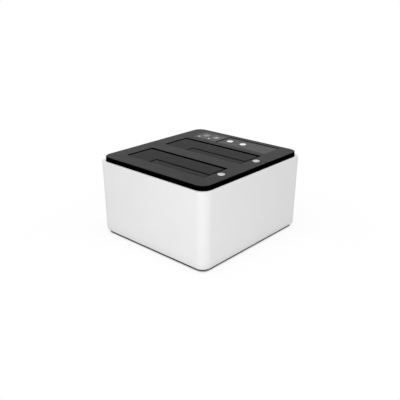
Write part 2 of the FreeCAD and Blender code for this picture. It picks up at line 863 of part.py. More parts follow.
def make_screws(label, places, head_foot, head_height, head_radius, shank_radius, shank_length):
    """A group of pan-head screws that point up."""
    body = new_body(label)
    sketch = sketch_on(body, "XY", head_foot)
    for x, y in places:
        circle(sketch, x, y, head_radius)
    pad(body, sketch, head_height)
    sketch = sketch_on(body, "XY", head_foot + head_height)
    for x, y in places:
        circle(sketch, x, y, shank_radius)
    pad(body, sketch, shank_length)


def make_all_screws():
    """Base screws, bay screws and the screws of both boards."""
    small_shank = s.small_screw_radius - s.thread_gap
    small_head = (s.small_head_height, s.small_head_radius, small_shank)
    head_foot = s.foot_rise + s.screw_clearance
    make_screws("base_screws", both(post_x, post_y), head_foot, s.screw_head_height, s.screw_head_radius,
                s.post_screw_radius - s.thread_gap, s.post_screw_length)
    places = [(x, bay_y + y) for bay_y in BAYS.values() for x, y in both(ear_x, ear_y)]
    make_screws("well_screws", places, ear_boss_foot - s.ear_thick - s.small_head_height, *small_head,
                s.ear_thick + s.ear_boss_height - s.boss_roof - s.screw_end_gap)
    make_screws("control_board_screws", control_board_bosses(),
                control_board_foot - s.small_head_height, *small_head,
                s.board_thick + s.board_screw_depth - s.screw_end_gap)
    body = new_body("main_board_screws")
    sketch = sketch_on(body, "XY", board_top)
    for x, y in board_holes():
        circle(sketch, x, y, s.small_head_radius)
    pad(body, sketch, s.small_head_height)
    sketch = sketch_on(body, "XY", board_top)
    for x, y in board_holes():
        circle(sketch, x, y, small_shank)
    pad(body, sketch, s.board_thick + s.board_screw_depth - s.screw_end_gap, back=True)


# ---- drive bays ----

def make_well(side, bay_y):
    """Moulded bay with hinge rails, windows for the knuckles, screw ears and eject guides."""
    body = new_body("bay_well_" + side, y=bay_y)
    sketch = sketch_on(body, "XY", s.well_floor)
    rectangle(sketch, (-well_x, well_x), (-well_y, well_y), s.bay_round + s.well_wall)
    pad(body, sketch, s.well_wall)
    sketch = sketch_on(body, "XY", well_floor_top)
    rectangle(sketch, (-well_x, well_x), (-well_y, well_y), s.bay_round + s.well_wall)
    rectangle(sketch, (-bay_end, bay_end), (-bay_edge, bay_edge), s.bay_round)
    pad(body, sketch, under - well_floor_top)

    for way in (-1, 1):
        sketch = sketch_on(body, "XY", under - s.rail_height)
        near = (bay_edge + s.well_wall / 2) * way
        far = (bay_edge + s.rail_thick) * way
        rectangle(sketch, (-well_x, well_x), (near, far) if way > 0 else (far, near))
        pad(body, sketch, s.rail_height)

    sketch = sketch_on(body, "XY", ear_boss_foot)
    tab = s.ear_boss_radius + s.well_wall / 2
    for x, y in both(ear_x, ear_y):
        inner = well_x - s.well_wall / 2
        x_range = (inner, x + tab) if x.number > 0 else (x - tab, -inner)
        rectangle(sketch, x_range, (y - tab, y + tab))
    pad(body, sketch, s.ear_thick, back=True)
    sketch = sketch_on(body, "XY", ear_boss_foot)
    for x, y in both(ear_x, ear_y):
        circle(sketch, x, y, s.small_screw_radius + s.screw_clearance)
    pocket(body, sketch, s.ear_thick)

    for guide_top in (s.guide_top, s.guide_low):
        sketch = sketch_on(body, "XY", guide_top)
        half = s.guide_width / 2
        rectangle(sketch, (well_x - s.well_wall / 2, eject_x + half), (-half, half))
        pad(body, sketch, s.guide_thick, back=True)
        sketch = sketch_on(body, "XY", guide_top)
        circle(sketch, eject_x, ZERO, s.rod_radius + s.guide_gap)
        pocket(body, sketch, s.guide_thick)
    sketch = sketch_on(body, "XY", s.guide_top)
    circle(sketch, eject_x, ZERO, s.collar_radius)
    circle(sketch, eject_x, ZERO, s.spring_radius + s.spring_wire_radius + s.cup_gap)
    pad(body, sketch, collar_foot - s.eject_travel - s.stop_gap - s.guide_top)

    near = s.lever_width / 2 + s.bracket_gap
    reach = s.lever_hub_radius + s.bracket_gap
    for level in (-near, near + s.bracket_thick):
        sketch = sketch_on(body, "XZ", level)
        rectangle(sketch, (pivot_x - reach, pivot_x + reach), (s.pivot_height - reach, s.well_floor))
        pad(body, sketch, s.bracket_thick)
    cut_well_openings(body)


def cut_well_openings(body):
    """Cut the socket window, the toe slot, the knuckle windows and the pin bores."""
    sketch = sketch_on(body, "XY", well_floor_top)
    reach_x = s.socket_width / 2 + s.socket_window_gap
    reach_y = s.socket_depth / 2 + s.socket_window_gap
    rectangle(sketch, (s.socket_right - reach_x, s.socket_right + reach_x),
              (socket_y - reach_y, socket_y + reach_y))
    toe_left = pivot_x - s.inner_arm - s.toe_length / 2
    reach_y = s.toe_width / 2 + s.socket_window_gap
    rectangle(sketch, (toe_left - s.socket_window_gap, pivot_x - s.toe_slot_near),
              (s.toe_shift - reach_y, s.toe_shift + reach_y))
    pocket(body, sketch, s.well_wall)

    sketch = sketch_on(body, "XY", under)
    play = s.knuckle_play
    rear = (bay_edge - s.well_wall / 2, bay_edge + s.rail_thick + s.well_wall)
    rectangle(sketch, (knuckle_in - play - s.spring_room, knuckle_out + play), rear)
    rectangle(sketch, (-knuckle_out - play, -knuckle_in + play), rear)
    pocket(body, sketch, under - door_window_foot)
    sketch = sketch_on(body, "XY", under)
    front = (-bay_edge - s.rail_thick - s.well_wall, s.well_wall / 2 - bay_edge)
    spring_left = flap_x + flap_knuckle_in - play - s.spring_room
    rectangle(sketch, (spring_left, flap_x + flap_knuckle_out + play), front)
    rectangle(sketch, (flap_x - flap_knuckle_out - play, flap_x - flap_knuckle_in + play), front)
    pocket(body, sketch, under - flap_window_foot)

    sketch = sketch_on(body, "YZ", well_x)
    circle(sketch, door_axis_y, door_axis_z, s.door_pin_radius + s.thread_gap)
    pocket(body, sketch, well_x * 2)
    sketch = sketch_on(body, "YZ", well_x)
    circle(sketch, flap_axis_y, flap_axis_z, s.flap_pin_radius + s.thread_gap)
    pocket(body, sketch, well_x - flap_left + s.pin_end)
    sketch = sketch_on(body, "XZ", -s.lever_width)
    circle(sketch, pivot_x, s.pivot_height, s.lever_pin_radius + s.thread_gap)
    pocket(body, sketch, s.lever_width * 2)


def make_drive_door(side, bay_y):
    """L-shaped door with two hinge necks that pass under the cover behind it, and ribs below."""
    body = new_body("drive_door_" + side, y=bay_y)
    front = s.door_gap - bay_edge
    step_x = flap_left - s.flap_gap
    step_y = flap_rear + s.flap_gap
    corner = s.bay_round
    sketch = sketch_on(body, "XY", door_bottom)
    outline(sketch, [
        (-door_x, front, corner),
        (step_x, front, corner),
        (step_x, step_y, corner),
        (door_x, step_y, corner),
        (door_x, door_rear, corner),
        (-door_x, door_rear, corner),
    ])
    pad(body, sketch, s.door_thick)
    stop_z = under - s.stop_gap
    middle = door_bottom + s.door_thick / 2
    sketch = sketch_on(body, "YZ", knuckle_in)
    polygon(sketch, [
        (door_axis_y, door_axis_z),
        (door_axis_y, stop_z),
        (bay_edge - s.door_gap, stop_z),
        (door_rear, middle),
        (door_rear - s.neck_reach, middle),
        (door_rear - s.neck_reach, door_bottom),
        (bay_edge - s.door_gap, door_axis_z + s.door_gap),
    ])
    neck = pad(body, sketch, s.knuckle_width)
    sketch = sketch_on(body, "YZ", knuckle_in)
    circle(sketch, door_axis_y, door_axis_z, s.door_knuckle_radius)
    knuckle = pad(body, sketch, s.knuckle_width)
    mirror_left_right(body, [neck, knuckle])
    sketch = sketch_on(body, "YZ", bay_end)
    circle(sketch, door_axis_y, door_axis_z, s.door_pin_radius + s.running_gap)
    pocket(body, sketch, s.bay_width)
    sketch = sketch_on(body, "XY", door_bottom)
    rib_rear = door_rear - s.rib_setback
    half = s.door_rib_width / 2
    for x, rib_front in ((-knuckle_in, front), (ZERO, step_y), (knuckle_in, step_y)):
        rectangle(sketch, (x - half, x + half), (rib_front + s.rib_end_gap, rib_rear))
    pad(body, sketch, s.door_rib_height, back=True)
    dress(body, "Fillet", "Radius", s.door_round, level_edges(door_top))


def make_small_flap(side, bay_y):
    """Sloping flap with two knuckles in front of its near edge."""
    body = new_body("small_flap_" + side, x=flap_x, y=bay_y)
    fall = tangent(s.flap_slope)
    rear_drop = s.flap_depth * fall
    sketch = sketch_on(body, "YZ", -s.flap_width / 2)
    polygon(sketch, [
        (flap_front, flap_top - s.flap_thick),
        (flap_rear, flap_top - s.flap_thick - rear_drop),
        (flap_rear, flap_top - rear_drop),
        (flap_front, flap_top),
    ])
    pad(body, sketch, s.flap_width)
    stop_z = under - s.stop_gap
    reach = s.neck_reach
    middle = flap_top - s.flap_thick / 2
    sketch = sketch_on(body, "YZ", flap_knuckle_in)
    polygon(sketch, [
        (flap_axis_y, flap_axis_z),
        (flap_front, flap_axis_z + s.door_gap),
        (flap_front + reach, flap_top - s.flap_thick - reach * fall),
        (flap_front + reach, middle - reach * fall),
        (flap_front, middle),
        (flap_front, stop_z),
        (flap_axis_y, stop_z),
    ])
    neck = pad(body, sketch, s.knuckle_width)
    sketch = sketch_on(body, "YZ", flap_knuckle_in)
    circle(sketch, flap_axis_y, flap_axis_z, s.flap_knuckle_radius)
    knuckle = pad(body, sketch, s.knuckle_width)
    mirror_left_right(body, [neck, knuckle])
    sketch = sketch_on(body, "YZ", s.flap_width / 2)
    circle(sketch, flap_axis_y, flap_axis_z, s.flap_pin_radius + s.running_gap)
    pocket(body, sketch, s.flap_width)


def make_pins(side, bay_y):
    """Steel hinge pins of the door and the flap."""
    reach = bay_end + s.well_wall - s.pin_end
    node("drive_door_pin_" + side, cylinder((-reach, bay_y + door_axis_y, door_axis_z), s.door_pin_radius,
                                            reach * 2, "x"))
    left = flap_left - s.pin_end
    node("small_flap_pin_" + side, cylinder((left, bay_y + flap_axis_y, flap_axis_z), s.flap_pin_radius,
                                            reach - left, "x"))


def make_coil(label, start, core_radius, window_foot):
    """Close-wound torsion spring round a pin, with one leg that stands on the window's floor."""
    wire = s.coil_wire_radius
    inner = core_radius + s.coil_gap
    outer = inner + wire * 2
    body = new_body(label, *start)
    corners = [(s.coil_start, inner), (s.coil_start + s.coil_pitch * s.coil_turns, inner)]
    for turn in range(round(s.coil_turns.number), 0, -1):
        corners.append((s.coil_start + s.coil_pitch * turn, outer - wire))
        corners.append((s.coil_start + s.coil_pitch * (turn - 0.5), outer))
    corners.append((s.coil_start, outer - wire))
    sketch = sketch_on(body, "XZ", ZERO)
    polygon(sketch, corners)
    feature = body.newObject("PartDesign::Revolution", label + "_coil")
    feature.Profile = sketch
    feature.ReferenceAxis = (sketch, ["H_Axis"])
    feature.Angle = 360
    doc.recompute()
    foot = window_foot - start[2]
    sketch = sketch_on(body, "XY", foot)
    rectangle(sketch, (s.coil_start + wire, s.coil_start + wire * 3), (outer - wire * 2, outer - wire / 2))
    pad(body, sketch, -foot)


# ---- eject works ----

def make_eject(side, bay_y):
    """Button, rod, return spring, lever and lever pin of one bay."""
    body = new_body("eject_button_" + side, x=eject_x, y=bay_y)
    crown = top + s.button_rise
    soft = s.button_round
    revolve(body, [(ZERO, collar_top), (s.button_radius, collar_top), (s.button_radius, crown - soft),
                   (s.button_radius - soft, crown), (ZERO, crown)])

    ball_z = rod_tip + s.rod_radius
    ball = doc.addObject("Part::Sphere", "Sphere")
    bind(ball, "Radius", s.rod_radius)
    place(ball, eject_x, bay_y, ball_z)
    stem = cylinder((eject_x, bay_y, ball_z), s.rod_radius, collar_top - ball_z)
    collar = cylinder((eject_x, bay_y, collar_foot), s.collar_radius, s.collar_height)
    node("eject_rod_" + side, fused([ball, stem, collar]))

    body = new_body("eject_spring_" + side, x=eject_x, y=bay_y)
    wire = s.spring_wire_radius
    sketch = sketch_on(body, "XZ", ZERO)
    rectangle(sketch, (s.spring_radius - wire, s.spring_radius + wire), (s.guide_top, s.guide_top + wire * 2))
    helix = body.newObject("PartDesign::AdditiveHelix", "coil_" + side)
    helix.Profile = sketch
    helix.ReferenceAxis = (sketch, ["V_Axis"])
    helix.Mode = "height-turns-angle"
    bind(helix, "Height", collar_foot - s.guide_top - wire * 2)
    bind(helix, "Turns", s.spring_turns)
    doc.recompute()

    make_lever(side, bay_y)
    half = s.lever_width / 2 + s.bracket_gap + s.bracket_thick
    pin = cylinder((pivot_x, bay_y - half, s.pivot_height), s.lever_pin_radius, half * 2, "y")
    node("lever_pin_" + side, pin)


def make_lever(side, bay_y):
    """Two-armed lever; its rod end goes down and its toe lifts the drive through the floor."""
    body = new_body("eject_lever_" + side, x=pivot_x, y=bay_y, z=s.pivot_height)
    half = s.lever_width / 2
    arm_left = -(s.inner_arm + s.toe_length / 2)
    arm_right = s.outer_arm + s.rod_radius
    deep = s.lever_thick / 2
    sketch = sketch_on(body, "XZ", half)
    rectangle(sketch, (arm_left, arm_right), (-deep, deep))
    pad(body, sketch, s.lever_width)
    sketch = sketch_on(body, "XZ", half)
    circle(sketch, ZERO, ZERO, s.lever_hub_radius)
    pad(body, sketch, s.lever_width)
    sketch = sketch_on(body, "XZ", s.toe_shift + s.toe_width / 2)
    toe_top = well_floor_top - s.toe_drop - s.pivot_height
    rectangle(sketch, (arm_left, arm_left + s.toe_length), (-deep, toe_top))
    pad(body, sketch, s.toe_width)
    sketch = sketch_on(body, "XZ", -half)
    circle(sketch, ZERO, ZERO, s.lever_pin_radius + s.running_gap)
    pocket(body, sketch, s.lever_width)


# ---- control strip ----

def make_controls():
    """Panel, two buttons, two lamp lenses, the control board and what stands on it."""
    body = new_body("control_panel")
    reach_x = s.panel_width / 2 - s.panel_gap
    reach_y = s.panel_depth / 2 - s.panel_gap
    sketch = sketch_on(body, "XY", panel_foot)
    rectangle(sketch, (panel_x - reach_x, panel_x + reach_x), (control_y - reach_y, control_y + reach_y),
              s.panel_round)
    for x in (mode_x, start_x):
        circle(sketch, x, control_y, s.button_radius + s.button_gap)
    pad(body, sketch, s.panel_thick)

    flange_top = under - s.panel_backing - s.collar_gap
    flange_foot = flange_top - s.control_flange
    crown = panel_top + s.control_rise
    stem_foot = plunger_top + s.control_travel + s.stop_gap
    soft = s.button_round
    for label, x in (("mode_button", mode_x), ("start_button", start_x)):
        body = new_body(label, x=x, y=control_y)
        revolve(body, [
            (ZERO, stem_foot),
            (s.control_stem_radius, stem_foot),
            (s.control_stem_radius, flange_foot),
            (s.button_radius + s.control_flange, flange_foot),
            (s.button_radius + s.control_flange, flange_top),
            (s.button_radius, flange_top),
            (s.button_radius, crown - soft),
            (s.button_radius - soft, crown),
            (ZERO, crown),
        ])

    lens_foot = control_board_top + s.lamp_height + s.collar_gap
    for label, x in (("lamp_lens_left", lamp_left_x), ("lamp_lens_right", lamp_right_x)):
        body = new_body(label, x=x, y=lamp_y)
        revolve(body, [
            (ZERO, lens_foot),
            (s.lamp_radius, lens_foot),
            (s.lamp_radius, under - s.lamp_flange),
            (s.lamp_radius + s.lamp_flange, under - s.lamp_flange),
            (s.lamp_radius + s.lamp_flange, under),
            (s.lamp_radius, under),
            (s.lamp_radius, top),
            (ZERO, top + s.stop_gap),
        ])

    body = new_body("status_lamps")
    sketch = sketch_on(body, "XY", control_board_top)
    for x in (lamp_left_x, lamp_right_x):
        circle(sketch, x, lamp_y, s.lamp_radius)
    pad(body, sketch, s.lamp_height)

    body = new_body("control_board")
    front = half_depth - s.control_board_front
    sketch = sketch_on(body, "XY", control_board_foot)
    rectangle(sketch, (lamp_left_x - s.control_board_left, start_x + s.control_board_right),
              (front, front + s.control_board_depth))
    for x, y in control_board_bosses():
        circle(sketch, x, y, s.small_screw_radius + s.screw_clearance)
    pad(body, sketch, s.board_thick)

    switches = []
    half = s.switch_size / 2
    switch_top = control_board_top + s.switch_height
    for x in (mode_x, start_x):
        block = box((x - half, x + half), (control_y - half, control_y + half),
                    (control_board_top, switch_top))
        plunger = cylinder((x, control_y, switch_top), s.plunger_radius, s.plunger_height)
        switches.append(fused([block, plunger]))
    node("tactile_switches", grouped(switches))


# ---- electronics and rear ports ----

def make_socket(side, bay_y):
    """Drive socket: a housing with a channel and the two contact tongues."""
    y = bay_y + socket_y
    half_x = s.socket_width / 2
    half_y = s.socket_depth / 2
    crown = board_top + s.socket_height
    housing = box((s.socket_right - half_x, s.socket_right + half_x), (y - half_y, y + half_y),
                  (board_top, crown))
    wall = s.tongue_gap_wall
    channel = box((s.socket_right - half_x + wall, s.socket_right + half_x - wall),
                  (y - half_y + wall, y + half_y - wall), (crown - s.tongue_depth, crown))
    span = s.data_tongue + s.tongue_split + s.power_tongue
    left = s.socket_right - span / 2
    parts = [without(housing, [channel])]
    for start, length in ((left, s.data_tongue), (left + s.data_tongue + s.tongue_split, s.power_tongue)):
        parts.append(box((start, start + length), (y - s.tongue_thick / 2, y + s.tongue_thick / 2),
                         (crown - s.tongue_depth, crown - s.tongue_drop)))
    node("sata_socket_" + side, fused(parts))


def make_main_board():
    """Board with its screw holes, the bridge chip, capacitors, ribbon and connectors."""
    body = new_body("main_board")
    sketch = sketch_on(body, "XY", s.board_height)
    rectangle(sketch, (board_left, board_right), (board_front, board_rear))
    for x, y in board_holes():
        circle(sketch, x, y, s.small_screw_radius + s.screw_clearance)
    pad(body, sketch, s.board_thick)

    middle = (BAYS["front"] + BAYS["rear"]) / 2
    half = s.chip_size / 2
    node("bridge_chip", box((s.chip_x - half, s.chip_x + half), (middle - half, middle + half),
                            (board_top, board_top + s.chip_thick)))
    cans = [cylinder((s.capacitor_x + s.capacitor_pitch * i, middle, board_top), s.capacitor_radius,
                     s.capacitor_height) for i in range(3)]
    node("capacitors", grouped(cans))

    y = half_depth - s.ribbon_inset
    wide = s.connector_width / 2
    deep = s.connector_depth / 2
    spans = ((board_top, board_top + s.connector_height),
             (control_board_foot - s.connector_height, control_board_foot))
    plugs = [box((ribbon_x - wide, ribbon_x + wide), (y - deep, y + deep), span) for span in spans]
    node("ribbon_connectors", grouped(plugs))
    wide = s.ribbon_width / 2
    deep = s.ribbon_thick / 2
    node("ribbon_cable", box((ribbon_x - wide, ribbon_x + wide), (y - deep, y + deep),
                             (spans[0][1], spans[1][0])))


def make_port_plate():
    """Flanged plate in the shell's rear window, with a hole for each port."""
    body = new_body("rear_port_plate")
    lap = s.port_overlap
    sketch = sketch_on(body, "XZ", port_inner)
    rectangle(sketch, (s.window_left - lap, window_right + lap), (s.window_bottom - lap, window_top + lap))
    pad(body, sketch, s.port_flange)
    gap = s.port_gap
    sketch = sketch_on(body, "XZ", port_face)
    rectangle(sketch, (s.window_left + gap, window_right - gap), (s.window_bottom + gap, window_top - gap),
              s.window_round)
    pad(body, sketch, port_face - port_inner)
    sketch = sketch_on(body, "XZ", port_inner - s.port_flange)
    for x_range, z_range in (usb_outline(), jack_outline(), switch_outline()):
        rectangle(sketch, (x_range[0] - gap, x_range[1] + gap), (z_range[0] - gap, z_range[1] + gap))
    pocket(body, sketch, port_face - port_inner + s.port_flange)


def usb_outline():
    """Width and height of the USB socket at the plate."""
    half = s.usb_width / 2
    return (s.usb_x - half, s.usb_x + half), (board_top, board_top + s.usb_height)


def jack_outline():
    """Width and height of the power jack at the plate."""
    half = s.jack_width / 2
    return (s.jack_x - half, s.jack_x + half), (board_top, board_top + s.jack_height)


def switch_outline():
    """Width and height of the power switch's frame."""
    half_x = s.rocker_length / 2 + s.switch_frame
    half_z = s.rocker_width / 2 + s.switch_frame
    return (s.switch_x - half_x, s.switch_x + half_x), (window_z - half_z, window_z + half_z)


def make_ports():
    """USB socket, power jack and power switch behind the plate."""
    x_range, z_range = usb_outline()
    wall = s.usb_wall
    can = box(x_range, (port_face - s.usb_length, port_face), z_range)
    hollow = box((x_range[0] + wall, x_range[1] - wall), (port_face - s.usb_length + wall, port_face),
                 (z_range[0] + wall, z_range[1] - wall))
    node("usb_socket", without(can, [hollow]))
    middle = (z_range[0] + z_range[1]) / 2
    back = port_face - s.usb_length + wall
    block = box((x_range[0] + wall, x_range[1] - wall), (back, back + s.usb_back),
                (z_range[0] + wall, z_range[1] - wall))
    half_x = s.usb_tongue_width / 2
    half_z = s.usb_tongue_height / 2
    tongue = box((s.usb_x - half_x, s.usb_x + half_x), (back + s.usb_back, port_face - s.tongue_drop),
                 (middle - half_z, middle + half_z))
    node("usb_tongue", fused([block, tongue]))

    x_range, z_range = jack_outline()
    middle = (z_range[0] + z_range[1]) / 2
    block = box(x_range, (port_face - s.jack_length, port_face), z_range)
    bore = cylinder((s.jack_x, port_face - s.jack_bore_depth, middle), s.jack_bore_radius,
                    s.jack_bore_depth, "y")
    node("power_jack", without(block, [bore]))
    node("power_jack_pin", cylinder((s.jack_x, port_face - s.jack_bore_depth, middle), s.jack_pin_radius,
                                    s.jack_bore_depth - s.tongue_drop, "y"))

    x_range, z_range = switch_outline()
    frame = s.switch_frame
    play = s.rocker_play
    block = box(x_range, (port_face - s.switch_body_depth, port_face), z_range)
    x_hollow = (x_range[0] + frame - play, x_range[1] - frame + play)
    z_hollow = (z_range[0] + frame - play, z_range[1] - frame + play)
    axis_y = port_face - s.rocker_set
    hollow = box(x_hollow, (axis_y - s.rocker_base - s.rocker_room, port_face), z_hollow)
    half_pin = s.rocker_width / 2 + play + s.trunnion_bite
    bore = cylinder((s.switch_x, axis_y, window_z - half_pin), s.trunnion_radius + s.running_gap,
                    half_pin * 2)
    node("power_switch_body", without(block, [hollow, bore]))


def make_rocker():
    """Rocker with a shallow V face and trunnions, tipped to its off side."""
    axis_y = port_face - s.rocker_set
    body = new_body("power_rocker", s.switch_x, axis_y, window_z)
    body.Placement.Rotation = FreeCAD.Rotation(FreeCAD.Vector(0, 0, 1), 0)
    bind(body, "Placement.Rotation.Angle", s.rocker_tilt)
    half = s.rocker_length / 2 - s.rocker_play
    deep = s.rocker_width / 2
    sketch = sketch_on(body, "XY", -deep)
    polygon(sketch, [
        (-half, -s.rocker_base / 2),
        (-half / 2, -s.rocker_base),
        (half / 2, -s.rocker_base),
        (half, -s.rocker_base / 2),
        (half, s.rocker_crest),
        (ZERO, s.rocker_crest - s.rocker_valley),
        (-half, s.rocker_crest),
    ])
    pad(body, sketch, s.rocker_width)
    reach = deep + s.rocker_play + s.trunnion_bite - s.stop_gap
    sketch = sketch_on(body, "XY", -reach)
    circle(sketch, ZERO, ZERO, s.trunnion_radius)
    pad(body, sketch, reach * 2)


def make_everything():
    """Build every sub-part."""
    make_shell()
    make_cover()
    make_base()
    make_feet()
    make_all_screws()
    for side, bay_y in BAYS.items():
        make_well(side, bay_y)
        make_drive_door(side, bay_y)
        make_small_flap(side, bay_y)
        make_pins(side, bay_y)
        make_coil("drive_door_spring_" + side,
                  (knuckle_in - s.spring_room, bay_y + door_axis_y, door_axis_z),
                  s.door_pin_radius, door_window_foot)
        make_coil("small_flap_spring_" + side,
                  (flap_x + flap_knuckle_in - s.spring_room, bay_y + flap_axis_y, flap_axis_z),
                  s.flap_pin_radius, flap_window_foot)
        make_eject(side, bay_y)
        make_socket(side, bay_y)
    make_controls()
    make_main_board()
    make_port_plate()
    make_ports()
    make_rocker()


def check_model():
    """Stop if any object failed or any sub-part has no sound shape."""
    for item in doc.Objects:
        if "Invalid" in item.State or "Error" in item.State:
            raise RuntimeError(f"{item.Label} failed: {item.State}")
    for item in NODES:
        if item.Shape.isNull() or not item.Shape.isValid():
            raise RuntimeError(f"{item.Label} has no valid shape")


make_everything()
doc.recompute()
check_model()
os.makedirs("parts", exist_ok=True)
for item in NODES:
    item.Shape.exportStep(f"parts/{item.Label}.step")
print(len(NODES), "sub-parts written")
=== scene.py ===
"""Drive duplicator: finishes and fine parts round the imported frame. Lengths are in metres."""
import json
import math

import bmesh
import bpy
from mathutils import Matrix, Vector


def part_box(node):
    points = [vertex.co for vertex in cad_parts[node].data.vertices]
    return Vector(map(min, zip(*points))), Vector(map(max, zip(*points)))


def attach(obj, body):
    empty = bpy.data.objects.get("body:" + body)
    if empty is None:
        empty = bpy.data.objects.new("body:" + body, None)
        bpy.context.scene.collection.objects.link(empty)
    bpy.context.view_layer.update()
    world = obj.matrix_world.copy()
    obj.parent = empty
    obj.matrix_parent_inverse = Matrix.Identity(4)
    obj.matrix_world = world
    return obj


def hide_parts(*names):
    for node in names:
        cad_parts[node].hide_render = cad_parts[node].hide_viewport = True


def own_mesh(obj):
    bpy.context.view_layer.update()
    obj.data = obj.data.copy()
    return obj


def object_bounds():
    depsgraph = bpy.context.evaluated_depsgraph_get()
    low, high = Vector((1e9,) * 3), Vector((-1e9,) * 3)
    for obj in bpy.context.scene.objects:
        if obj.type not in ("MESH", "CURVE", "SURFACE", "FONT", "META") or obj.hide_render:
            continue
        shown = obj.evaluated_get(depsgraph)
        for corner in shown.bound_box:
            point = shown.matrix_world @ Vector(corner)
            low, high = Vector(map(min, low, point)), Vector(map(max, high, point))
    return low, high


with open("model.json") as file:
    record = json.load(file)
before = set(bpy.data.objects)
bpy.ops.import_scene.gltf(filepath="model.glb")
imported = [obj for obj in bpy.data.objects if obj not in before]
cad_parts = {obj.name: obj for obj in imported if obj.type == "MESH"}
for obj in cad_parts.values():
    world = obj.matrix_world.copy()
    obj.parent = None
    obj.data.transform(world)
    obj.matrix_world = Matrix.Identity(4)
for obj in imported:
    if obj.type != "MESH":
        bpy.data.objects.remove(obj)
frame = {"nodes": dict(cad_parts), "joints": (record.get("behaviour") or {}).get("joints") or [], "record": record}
cad_low, cad_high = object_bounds()

MM = 0.001
FULL_TURN = 2 * math.pi
QUARTER = math.pi / 2
MERGE = 1e-7

# housing
SHELL_CORNER = 10.2 * MM
SHELL_WALL = 2.5 * MM
SHELL_RIM = 0.4 * MM
SHELL_FOOT = 2.2 * MM
RIM_CORNER = 10.4 * MM
LEDGE_WIDTH = 2.6 * MM
LEDGE_THICK = 1.6 * MM
CORNER_STEPS = 18
COVER_CORNER = 10.0 * MM
COVER_EDGE = 0.9 * MM
PLATE_THICK = 2.2 * MM
SKIRT_WALL = 2.0 * MM
SKIRT_DEPTH = 8.9 * MM
BAY_WIDTH = 104.0 * MM
BAY_DEPTH = 35.0 * MM
BAY_ROUND = 0.8 * MM
BAY_BEVEL = 0.3 * MM
DOOR_GAP = 0.4 * MM
RECESS_GAP = 0.15 * MM
RECESS_DEPTH = 1.55 * MM
BUTTON_GAP = 0.25 * MM
WINDOW_LAP = 1.2 * MM
WINDOW_ROUND = 1.5 * MM
SIDES = ("front", "rear")
FLAPS = ("small_flap_front", "small_flap_rear")

# buttons, lamps and marks
CAP_SOFT = 0.5 * MM
CAP_DISH = 0.12 * MM
KEY_RADIUS = 3.75 * MM
KEY_HOLE = 4.0 * MM
KEY_STEM = 1.75 * MM
KEY_SOFT = 0.45 * MM
KEY_CROWN = 0.1 * MM
KEY_SHOULDER = 3.75 * MM
KEY_FLANGE = 1.2 * MM
LENS_RADIUS = 1.35 * MM
LENS_GAP = 0.1 * MM
LENS_DOME = 0.25 * MM
LENS_FLANGE = 0.8 * MM
NUMBER_SIZE = 3.8 * MM
NUMBER_PLACE = (4.9 * MM, 7.2 * MM)
OUTLINE_HALF = (2.9 * MM, 2.5 * MM)
OUTLINE_ROUND = 0.6 * MM
OUTLINE_WIDTH = 0.5 * MM
INK_FOOT = 0.01 * MM
INK_RISE = 0.03 * MM
INK_SPREAD = 0.12 * MM

# screws, feet and inner works: a head is a radius and a height, a shank a radius
BASE_HEAD = (2.8 * MM, 1.6 * MM)
BASE_SHANK = 1.5 * MM
SMALL_HEAD = (2.1 * MM, 1.4 * MM)
SMALL_SHANK = 1.08 * MM
HEAD_SOFT = 0.45  # of the head's height
CROSS_REACH = 0.58  # of the head's radius
CROSS_SLOT = 0.26  # of the head's radius
CROSS_DEPTH = 0.55  # of the head's height
FOOT_RADIUS = 6.0 * MM
FOOT_SOFT = 0.6 * MM
FOOT_DISH = 0.35 * MM
SPRING_WIRE = 0.3 * MM
SPRING_TURNS = 4.6
SPRING_STEPS = 24
CAN_RADIUS = 4.0 * MM
CAN_COUNT = 3
CAN_NECK = 0.35 * MM
CAN_VENT = 4.0 * MM
LEG_PITCH = 0.8 * MM
LEG_COUNT = 12
LEG_WIDTH = 0.32 * MM
LEG_THICK = 0.14 * MM

# rear ports and sockets
CONTACT_PITCH = 1.27 * MM
CONTACT_WIDTH = 0.8 * MM
CONTACT_PLATE = 0.05 * MM
SOCKET_DROP = 1.0 * MM
DATA_TONGUE = 10.0 * MM
POWER_TONGUE = 20.6 * MM
TONGUE_SPLIT = 2.4 * MM
TONGUE_THICK = 1.2 * MM
ROCKER_TILT = math.radians(8.0)
ROCKER_HALF = 6.65 * MM
ROCKER_CREST = 3.6 * MM
ROCKER_VALLEY = 2.7 * MM
ROCKER_LINE = 0.45 * MM
ROCKER_MARK = 2.8 * MM
TRIM_LAP = 0.9 * MM
TRIM_WALL = 2.2 * MM
TRIM_THICK = 0.8 * MM
TRIM_ROUND = 1.4 * MM
JACK_BORE = 2.75 * MM
USB_TONGUE = 3.2 * MM
USB_STRIP = (1.0 * MM, 7.2 * MM)

# finishes
FACE_DEPTH = 0.18 * MM
LOW_DARKENING = (3 * MM, 12 * MM)
METAL_DEPTH = 0.006 * MM
HAIRLINE_SCALE = 1100.0
HAIRLINE_STRETCH = (0.04, 1.0, 1.0)

# light and view
SURROUND = 0.5
FLOOR_WHITE = 0.85
SHADOW_INSET = 1.2 * MM
SHADOW_BLEND = 3.0 * MM
SHADOW_END = 160.0 * MM
LAMP_AIM = Vector((0, 0, 0.04))
LAMPS = (  # name, place, size and power
    ("lamp_front", (0.36, -0.50, 0.36), 0.40, 1.7),
    ("lamp_above", (0.0, 0.0, 1.0), 0.8, 4.2),
)
CAMERA_PLACE = (0.35355, -0.39561, 0.24588)
CAMERA_FORWARD = Vector((-0.61107, 0.66350, -0.43169))
CAMERA_ROLL = math.radians(0.19)
CAMERA_LENS = 47.715
CAMERA_SHIFT = (0.01513, 0.08512)


# ---- meshes ----

